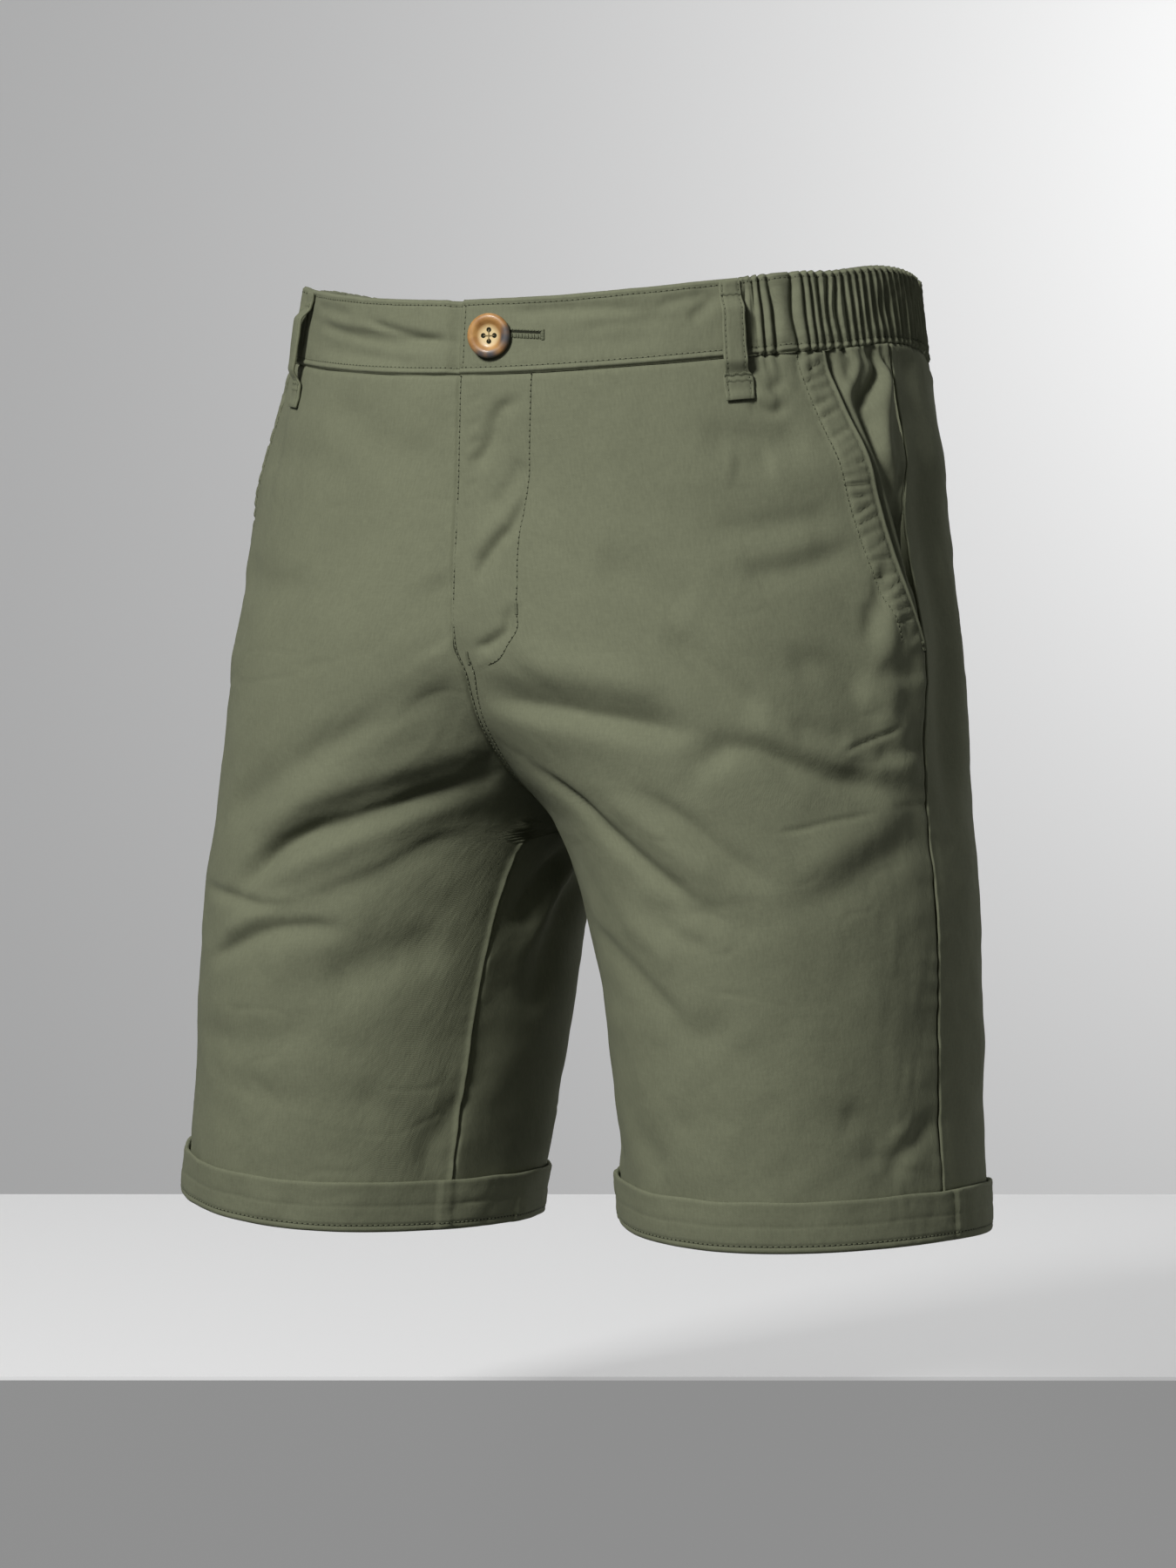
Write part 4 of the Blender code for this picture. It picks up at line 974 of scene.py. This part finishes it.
joint = 0.05
for name, turns, extra, ends, flat, held, on in [
    ("waistband_front_left", band_turns(turn_on_band(-FLY_LAP), ELASTIC_TURN - joint, 130), flat_band,
     [turn_on_band(-FLY_LAP)], (0.150, 0.036), "stretched", ["front_left_cloth"]),
    ("waistband_front_right", band_turns(-ELASTIC_TURN + joint, turn_on_band(UNDERLAP), 140), under_lap_band,
     [turn_on_band(UNDERLAP)], (0.180, 0.036), "stretched", ["front_right_cloth"]),
    ("waistband_back", band_turns(ELASTIC_TURN + joint, 360 - ELASTIC_TURN - joint, 920), gathered_band,
     [], (1.100, 0.036), "gathered", ["back_left_cloth", "back_right_cloth"]),
]:
    band, stitches = band_piece(name + "_cloth", turns, name, extra, ends)

# The buttonhole runs out from under the button: a slit, drawn as a thin strip of painted shade just over the
# band, between two rows of close purl stitches, with a bar across its end.
HOLE_START, HOLE_END = (7.4, 2.4), (14.0, 0.6)
share = np.linspace(0, 1, 30)
turn, high = mix(HOLE_START[0], HOLE_END[0], share), mix(HOLE_START[1], HOLE_END[1], share) / 1000
# the slit is a flat strip of painted shade lying 0.18 mm over the band
edges = [band_face(turn, BAND_HALF - high - shift, flat_band, (), 0.00018) for shift in (-0.00045, 0.00045)]
slit = add_mesh("buttonhole_slit_painted_shade", np.concatenate(edges), [(k, k + 1, 31 + k, 30 + k) for k in range(29)],
                None, painted_hole_shade)
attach(slit, "root")
rows = []
for way in (-1, 1):
    for t, h in zip(turn, high):
        down = BAND_HALF - h + (np.array([0.0006, 0.0032]) if way > 0 else np.array([-0.0005, -0.0013]))
        place = t + np.array([0.0, 0.10]) + 0.06 * math.sin(17 * t)
        rows.append(on_face(band_face, place, down, flat_band, ()))
for step in np.linspace(-0.0012, 0.0032, 8):
    place = np.array([HOLE_END[0] + 0.10, HOLE_END[0] + 0.75])
    down = BAND_HALF - HOLE_END[1] / 1000 + step + np.zeros(2)
    rows.append(on_face(band_face, place, down, flat_band, ()))
sew("buttonhole_stitches", rows, olive_thread, gap=0.0, wide=0.0009, high=0.0008)


# ---------------------------------------------------------------- belt loops
# Narrow folded straps of twill, edge-stitched, bar-tacked to the waistband's top and to the panel
# below it, and arched between for the belt.
LOOP_WIDE, LOOP_LONG, LOOP_WALL = 0.013, 0.0555, 0.0016
LOOP_FOOT_OUT, LOOP_ARCH, LOOP_TOP_DOWN, LOOP_SEWN, LOOP_RAMP = 0.0005, 0.0054, 0.001, 0.007, 0.007
PLEAT_DEEP = 0.0008


def loop_place(centre, along, over, out, seed):
    """A place on a loop, along it from the top and across it from its middle line, in metres."""
    flat = min(centre, 360 - centre) < ELASTIC_TURN
    seat_on_band = BAND_OUT + (0.0004 if flat else PLEAT_DEEP)
    lift = ease((along - LOOP_SEWN) / LOOP_RAMP) * ease((LOOP_LONG - along - LOOP_SEWN - 0.004) / LOOP_RAMP)
    seat = mix(seat_on_band, LOOP_FOOT_OUT, ease((along - 2 * BAND_HALF - 0.002) / 0.008)) + GAP
    height = BAND_HALF - LOOP_TOP_DOWN - along
    degree = float(per_degree(1, np.array(centre), np.array(0.0)))
    wander = 0.0005 * soft_noise(along, along * 0, 0.012, seed)
    spread = mix(0.84, 1.08, ease((along - 0.0415) / 0.004))
    spread = spread + 0.04 * soft_noise(along, along * 0, 0.006, seed + 2)
    turn = centre + (over * spread + wander) / degree
    bowed = 0.0003 * soft_noise(along, over, 0.009, seed + 1)
    sunk = -0.0004 * bump(along - 0.0035, 0.0022) - 0.0004 * bump(LOOP_LONG - along - 0.005, 0.0022)
    return cloth(1, turn, height, seat + (LOOP_ARCH - seat) * lift + out + (bowed + sunk))


def loop_strap(name, centre, node, seed):
    """A closed strap: rings of places round its flattened section, carried down its length."""
    half, wall = LOOP_WIDE / 2, LOOP_WALL
    half_across = [1.0, 0.985, 0.93, 0.80, 0.74, 0.68, 0.4]
    half_face = [0.5, 0.78, 0.97, 0.98, 0.82, 0.98, 1.04]
    across = np.array([-x for x in half_across] + [0.0] + half_across[::-1])
    face = np.array(half_face + [1.05] + half_face[::-1])
    ring_x = np.concatenate([across, across[-2:0:-1]]) * half
    ring_out = np.concatenate([face, 1 - np.minimum(face[-2:0:-1], 1.0)]) * wall
    tip = np.array([0.0, 0.0003, 0.0009])
    along = np.concatenate([tip, np.linspace(0.002, LOOP_LONG - 0.002, 56), LOOP_LONG - tip[::-1]])
    ends = 1 - 0.5 * (1 - ease(np.minimum(along, LOOP_LONG - along) / 0.0009))
    middle = wall / 2
    out = middle + (ring_out[None, :] - middle) * ends[:, None]
    rings = loop_place(centre, *np.broadcast_arrays(along[:, None], ring_x[None, :]), out, seed)
    count = len(ring_x)
    faces = [(r * count + k, r * count + (k + 1) % count, (r + 1) * count + (k + 1) % count, (r + 1) * count + k)
             for r in range(len(along) - 1) for k in range(count)]
    faces += [tuple(range(count))[::-1], tuple((len(along) - 1) * count + k for k in range(count))]
    round_it = np.concatenate([[0], np.cumsum(np.hypot(np.diff(ring_x), np.diff(ring_out)))])
    weave = np.array([(round_it[v % count], -along[v // count]) for corners in faces for v in corners])
    strap = add_mesh(name, rings.reshape(-1, 3), faces, weave, olive_twill)
    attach(strap, "root")
    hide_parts(node)

    def stitch(down, over, share):
        return [loop_place(centre, down, over, share * wall + out, seed) for out in (0.0, 0.001)]

    rows = []
    for over in (-0.0047, 0.0047):
        down = np.linspace(0.002, LOOP_LONG - 0.002, 120)
        rows.append(stitch(down, over + 0 * down, 0.86))
    for bar, lean in ((0.0062, 0.0), (0.0440, 0.0004), (0.0468, -0.0004)):
        for step in np.linspace(-1, 1, 19):
            down = bar + np.array([-0.0009, 0.0009]) + 0.0003 * math.sin(9 * step + seed)
            over = step * 0.0056 + np.array([-0.00025, 0.00025]) + lean * step
            rows.append(stitch(down, over, 1.02))
    stitches = sew(f"{node}_stitches", rows, olive_thread, gap=0.0004)


LOOPS = [("front_left", 48.0), ("side_left", 130.0), ("back", 180.0), ("side_right", 230.0),
         ("front_right", 312.0)]
for number, (word, centre) in enumerate(LOOPS):
    loop_strap(f"belt_loop_{word}_strap", centre, f"belt_loop_{word}", 100 + 5 * number)


# ---------------------------------------------------------------- cuffs
# The hem is folded up outside the leg and pressed: a band 24 mm tall with a rolled top edge, a soft
# crease half way up, a row of stitches above the lower fold, and joins at both leg seams.
CUFF_STITCH, CUFF_STEPS = (0.0026, 0.0034), 360
CUFF_SECTION = np.array([
    # out, up (millimetres): round the band from its hidden inner face, over the top, down the
    # outside, under the fold and up inside the leg
    (0.9, 2.4), (0.9, 13.0), (0.9, 23.2), (1.2, 24.0), (1.8, 24.35), (2.5, 24.2), (2.95, 23.5), (3.05, 22.4),
    (2.95, 20.5), (2.95, 18.5), (3.0, 16.5), (3.0, 14.6), (2.92, 13.4), (2.78, 12.6), (2.9, 11.8), (3.0, 10.6),
    (3.0, 9.0), (3.0, 7.2), (3.05, 5.4), (2.95, 4.4), (2.55, 3.6), (2.55, 3.1), (2.8, 2.4), (2.9, 1.6),
    (2.7, 0.8), (2.2, 0.2), (1.4, -0.1), (0.4, -0.15), (-0.6, 0.0), (-1.1, 0.5), (-1.25, 1.3), (-1.2, 2.1),
    (-0.2, 2.3),
])


def cuff_place(side, turn, out, up):
    """A place on a cuff: it waves a little, and thickens beside the side seam and the inseam."""
    degrees = (turn + 90) % 360
    wave = soft_noise(degrees, up * 250, 17.0, 140 + side) * 0.00045
    wave = wave + soft_noise(degrees, up * 500, 7.0, 142 + side) * 0.00022
    face = ease((out - 0.0012) / 0.0012)
    join = 0
    for seam in (SIDE_SEAM_HEM + 3, INSEAM_HEM):
        away = ((turn - seam + 180) % 360 - 180) * 1.6
        join = join + 0.9 * ease((away + 0.6) / 0.9) * ease((7.5 - away) / 1.2) - 0.7 * bump(away + 0.6, 0.6)
        join = join + 0.35 * soft_noise(up * 1000, away * 0.1, 3.0, 150) * bump(away, 6.0)
    lift = 0.0005 * soft_noise(degrees, degrees * 0, 12.0, 144 + side) * ease(up / 0.018)
    return cloth(side, turn, HEM + up + lift, out + face * (np.maximum(wave, -0.0006) + join / 1000))


for word, side in SIDES:
    turns = np.linspace(-90, 270, CUFF_STEPS + 1)[:-1]
    out, up = CUFF_SECTION[:, 0] / 1000, CUFF_SECTION[:, 1] / 1000
    rings = cuff_place(side, *np.broadcast_arrays(turns[:, None], out[None, :], up[None, :]))
    count = len(out)
    r, k = (a.reshape(-1) for a in np.meshgrid(np.arange(CUFF_STEPS), np.arange(count), indexing="ij"))
    corners = [(r, k), (r, k + 1), (r + 1, k + 1), (r + 1, k)]
    faces = np.stack([a % CUFF_STEPS * count + b % count for a, b in corners], -1)
    round_it = np.concatenate([[0], np.cumsum(np.hypot(np.diff(out), np.diff(up)))])
    round_it = np.append(round_it, round_it[-1] + 0.001)
    weave = np.stack([np.stack([a * 0.0016 * side, -round_it[b]], -1) for a, b in corners], 1)
    if side > 0:
        faces, weave = faces[:, ::-1], weave[:, ::-1]
    cuff = add_mesh(f"cuff_{word}_cloth", rings.reshape(-1, 3), faces, weave, olive_twill)
    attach(cuff, "root")
    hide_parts(f"cuff_{word}")
    turns = np.linspace(-90, 270, 1500)
    row = [cuff_place(side, turns, CUFF_STITCH[0] + out, CUFF_STITCH[1] + 0 * turns) for out in (0.0, 0.001)]
    stitches = sew(f"cuff_{word}_stitches", [row], olive_thread)


# ---------------------------------------------------------------- button
# A turned four-hole button of polished amber horn, with painted shade on the rim's right and lower side, dished
# in the middle and sewn on through its holes to the band behind.
BUTTON_WIDE, BUTTON_THICK, BUTTON_X, BUTTON_Z = 0.0216, 0.0036, 0.013, 0.0004
button_turn = turn_on_band(BUTTON_X)
button_back = BAND_OUT + 0.0018
button_leans = math.radians(button_turn + 8)
facing_out = Vector((math.sin(button_leans), -math.cos(button_leans), 0.0))
button_frame = Matrix.LocRotScale(Vector(bare(1, np.array(button_turn), np.array(BUTTON_Z)).tolist()),
                                  facing_out.to_track_quat("Z", "Y"), None)


AMBER_DEEP, AMBER_LIGHT = (0.33, 0.155, 0.045, 1), (0.50, 0.27, 0.085, 1)
# the near-black grey is painted shade for the rim's unlit side; the pale colour makes the dish's middle paler
RIM_SHADE, DISH_PALE = (0.075, 0.072, 0.075, 1), (0.74, 0.58, 0.30, 1)
HOLE_AWAY, HOLE_RADIUS = 0.0028, 0.00125


def horn(name):
    """Amber horn, clouded, with painted shade near the rim on the side turned from the light, and a paler dish
    in the middle.
    """
    material, tree, shader, place = new_material(name)
    cloud = add_node(tree, "TexNoise", {"Scale": 120.0, "Detail": 3.0, "Distortion": 0.6,
                                        "Vector": place}).outputs["Fac"]
    amber = add_node(tree, "ValToRGB", {"Fac": cloud})
    for stop, position, colour in zip(amber.color_ramp.elements, (0.38, 0.66), (AMBER_DEEP, AMBER_LIGHT)):
        stop.position, stop.color = position, colour
    tint = amber.outputs["Color"]
    for patch, colour in (("rim_shade", RIM_SHADE), ("pale", DISH_PALE)):
        where = add_node(tree, "Attribute", {}, attribute_name=patch)
        blend = add_node(tree, "Mix", {"Factor": where.outputs["Fac"], 6: tint, 7: colour}, data_type="RGBA")
        tint = blend.outputs[2]
    rough = add_node(tree, "MapRange", {"To Min": 0.40, "To Max": 0.52, "Value": cloud})
    set_inputs(tree, shader, {"Base Color": tint, "Roughness": rough.outputs["Result"],
                              "Coat Weight": 0.10, "Coat Roughness": 0.15})
    return material


# out from the middle and up from the back, as shares of the button's radius and thickness
button_profile = [(0.0, 0.50), (0.30, 0.50), (0.46, 0.54), (0.56, 0.68), (0.64, 0.88), (0.72, 0.98),
                  (0.80, 1.0), (0.88, 0.97), (0.94, 0.88), (0.985, 0.72), (1.0, 0.52), (0.985, 0.34),
                  (0.94, 0.18), (0.84, 0.06), (0.72, 0.0), (0.0, 0.0)]
mesh = bpy.data.meshes.new("button_horn")
radius = BUTTON_WIDE / 2
mesh.from_pydata([(r * radius, 0, button_back + t * BUTTON_THICK) for r, t in button_profile],
                 [(i, i + 1) for i in range(len(button_profile) - 1)], [])
button = bpy.data.objects.new("button_horn", mesh)
bpy.context.scene.collection.objects.link(button)
spin = button.modifiers.new("turn", "SCREW")
spin.steps = spin.render_steps = 72
spin.use_merge_vertices = True
spin.merge_threshold = 0.00003
drill_mesh = bpy.data.meshes.new("button_drill")
points, faces = [], []
for quarter in range(4):
    angle = math.radians(90 * quarter)
    base = len(points)
    for level in (-1, 1):
        for k in range(20):
            a = 2 * math.pi * k / 20
            points.append((HOLE_AWAY * math.cos(angle) + HOLE_RADIUS * math.cos(a),
                           HOLE_AWAY * math.sin(angle) + HOLE_RADIUS * math.sin(a),
                           button_back + BUTTON_THICK * (0.5 + level)))
    faces += [(base + k, base + (k + 1) % 20, base + 20 + (k + 1) % 20, base + 20 + k) for k in range(20)]
    faces += [tuple(base + k for k in range(20))[::-1], tuple(base + 20 + k for k in range(20))]
drill_mesh.from_pydata(points, [], faces)
drill = bpy.data.objects.new("button_drill", drill_mesh)
bpy.context.scene.collection.objects.link(drill)
holes = button.modifiers.new("holes", "BOOLEAN")
holes.object = drill
holes.solver = "EXACT"
bpy.context.view_layer.update()
solid = bpy.data.meshes.new_from_object(button.evaluated_get(bpy.context.evaluated_depsgraph_get()))
button.modifiers.clear()
button.data = solid
bpy.data.objects.remove(drill, do_unlink=True)
solid.name = "button_horn"
places = np.zeros(len(solid.vertices) * 3)
solid.vertices.foreach_get("co", places)
places = places.reshape(-1, 3)
out_share = np.hypot(places[:, 0], places[:, 1]) / radius
angle = np.degrees(np.arctan2(places[:, 1], places[:, 0]))
# patches of painted shade on the rim's right and lower side, turned from the key light: angle, spread, inner
# share, strength
rim_shade_patches = [(-8, 30, 0.50, 1.0), (-82, 26, 0.60, 1.0), (-112, 22, 0.66, 0.95), (16, 16, 0.62, 0.9)]
rim_shade = np.zeros(len(places))
for centre, spread, inner_share, strength in rim_shade_patches:
    away = (angle - centre + 180) % 360 - 180
    rim_shade = np.maximum(rim_shade, strength * bump(away, spread) * ease((out_share - inner_share) / 0.16))
for name, values in (("rim_shade", rim_shade), ("pale", 0.9 * (1 - ease((out_share - 0.34) / 0.24)))):
    solid.attributes.new(name, "FLOAT", "POINT").data.foreach_set("value", values.astype(np.float32))
loops = np.zeros(len(solid.loops), dtype=int)
solid.loops.foreach_get("vertex_index", loops)
uv = solid.uv_layers.new(name="weave")
uv.data.foreach_set("uv", places[loops, :2].reshape(-1).astype(np.float32))
solid.materials.clear()
solid.materials.append(horn("horn_amber"))
solid.shade_smooth()
solid.set_sharp_from_angle(angle=math.radians(38))
button.data.transform(button_frame)
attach(button, "root")
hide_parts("button")

# Sewing thread passes through opposite holes and down to the band. A flat disc of painted shade stops each hole.
points, faces = [], []
for turned in (0, 90):
    for shift in (-0.00016, 0.00016):
        line = [(-0.0028, 0.0002), (-0.0028, 0.0014), (-0.0025, 0.0019), (-0.0016, 0.0021), (0.0016, 0.0021),
                (0.0025, 0.0019), (0.0028, 0.0014), (0.0028, 0.0002)]
        line = smooth_line(line, 4)
        base = len(points)
        for k, (x, z) in enumerate(line):
            before, after = line[max(k - 1, 0)], line[min(k + 1, len(line) - 1)]
            way = np.arctan2(after[1] - before[1], after[0] - before[0])
            for a in np.radians(range(0, 360, 60)):
                tube_x, tube_y = x - math.sin(way) * math.cos(a) * 0.0001, shift + math.sin(a) * 0.0001
                spot = (tube_x, tube_y) if turned == 0 else (-tube_y, tube_x)
                rise = 0.0001 * turned / 90 + z + math.cos(way) * math.cos(a) * 0.0001
                points.append((*spot, button_back + rise))
        faces += [(r + a, r + (a + 1) % 6, r + 6 + (a + 1) % 6, r + 6 + a)
                  for r in range(base, base + 6 * (len(line) - 1), 6) for a in range(6)]
bars = len(faces)
# a flat disc of painted shade in each hole, 1.3 mm above the button's back
for quarter in range(4):
    angle = math.radians(90 * quarter)
    base = len(points)
    points += [(HOLE_AWAY * math.cos(angle) + 0.00124 * math.cos(a),
                HOLE_AWAY * math.sin(angle) + 0.00124 * math.sin(a), button_back + 0.0013)
               for a in np.radians(range(0, 360, 30))]
    faces.append(tuple(base + k for k in range(12)))
tan_thread = thread("button_thread_tan", (0.36, 0.28, 0.14))
sewn = add_mesh("button_sewing_thread", points, faces, None, tan_thread, painted_hole_shade)
sewn.data.polygons.foreach_set("material_index", (np.arange(len(faces)) >= bars).astype(np.int32))
sewn.data.transform(button_frame)
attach(sewn, "root")
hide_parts("button_thread")


# ---------------------------------------------------------------- studio
# A plain pale ledge and backdrop. The key light is a softbox high at the front left,
# with a weak fill, a light over the ledge, a wash on the backdrop's right and a faint low one at the right.
LOOK_TURN = math.radians(30.0)
LEDGE, BACKDROP = -0.560, 4.4
forward = Vector((-math.sin(LOOK_TURN), math.cos(LOOK_TURN), 0.0))
rightward = Vector((math.cos(LOOK_TURN), math.sin(LOOK_TURN), 0.0))


def slab(name, near, far, half_width, low, high, material):
    """A plain block square to the camera, given by its distances beyond the shorts and its heights."""
    corners = [forward * d + rightward * s * half_width + Vector((0, 0, z))
               for z in (low, high) for d, s in ((near, -1), (near, 1), (far, 1), (far, -1))]
    mesh = bpy.data.meshes.new(name)
    mesh.from_pydata(corners, [], [(3, 2, 1, 0), (4, 5, 6, 7), (0, 1, 5, 4), (1, 2, 6, 5), (2, 3, 7, 6),
                                   (3, 0, 4, 7)])
    mesh.materials.append(material)
    piece = bpy.data.objects.new(name, mesh)
    bpy.context.scene.collection.objects.link(piece)


slab("ledge_top", 0.34, 1.40, 4.0, LEDGE - 0.002, LEDGE, plain("pale_ledge", (0.40, 0.40, 0.40), 0.8, glow=0.40))
slab("ledge_front", 0.341, 1.399, 4.0, -1.6, LEDGE - 0.002,
     plain("grey_ledge", (0.01, 0.01, 0.01), 0.9, specular=0.0, glow=0.27))
slab("backdrop", BACKDROP, BACKDROP + 0.05, 12.0, -5.0, 8.0,
     plain("pale_backdrop", (0.55, 0.55, 0.55), 0.9, glow=0.12))


def softbox(name, place, aim, width, height, watts):
    """A soft rectangular studio light."""
    light = bpy.data.lights.new(name, "AREA")
    light.shape = "RECTANGLE"
    light.size, light.size_y = width, height
    light.energy = watts
    lamp = bpy.data.objects.new(name, light)
    lamp.location = place
    lamp.rotation_euler = (Vector(aim) - Vector(place)).to_track_quat("-Z", "Y").to_euler()
    bpy.context.scene.collection.objects.link(lamp)


def from_camera(left, near, up):
    """A place so far to the camera's left of the shorts, nearer to the camera, and up."""
    return -rightward * left - forward * near + Vector((0, 0, up))


softbox("key", from_camera(1.30, 2.08, 1.45), (0, 0, -0.22), 0.5, 0.6, 89)
softbox("fill", from_camera(0.0, 2.8, 0.9), (0, 0, -0.25), 1.6, 1.2, 4)
softbox("top", from_camera(-0.1, -0.9, 1.3), from_camera(0, -0.8, LEDGE), 1.6, 0.5, 10)
softbox("backdrop_wash", from_camera(-1.33, -2.88, 0.60), from_camera(-1.08, -BACKDROP, 0.16), 0.51, 0.89, 40)
softbox("low_side", from_camera(-1.0, 0.1, -0.52), (0.12, 0.0, -0.40), 0.4, 0.3, 0.95)
world = bpy.data.worlds.new("studio")
world.use_nodes = True
world.node_tree.nodes["Background"].inputs["Color"].default_value = (0.9, 0.95, 1.0, 1.0)
world.node_tree.nodes["Background"].inputs["Strength"].default_value = 0.05
bpy.context.scene.world = world
bpy.context.scene.view_settings.view_transform = "Standard"

camera_data = bpy.data.cameras.new("camera")
camera_data.lens = 147.2
camera_data.sensor_width = 36.0
camera = bpy.data.objects.new("camera", camera_data)
camera.location = (1.6, -2.771, -0.12)
camera_aim = Vector((-0.0056, -0.0033, -0.2207))
camera.rotation_euler = (camera_aim - camera.location).to_track_quat("-Z", "Y").to_euler()
bpy.context.scene.collection.objects.link(camera)
bpy.context.scene.camera = camera
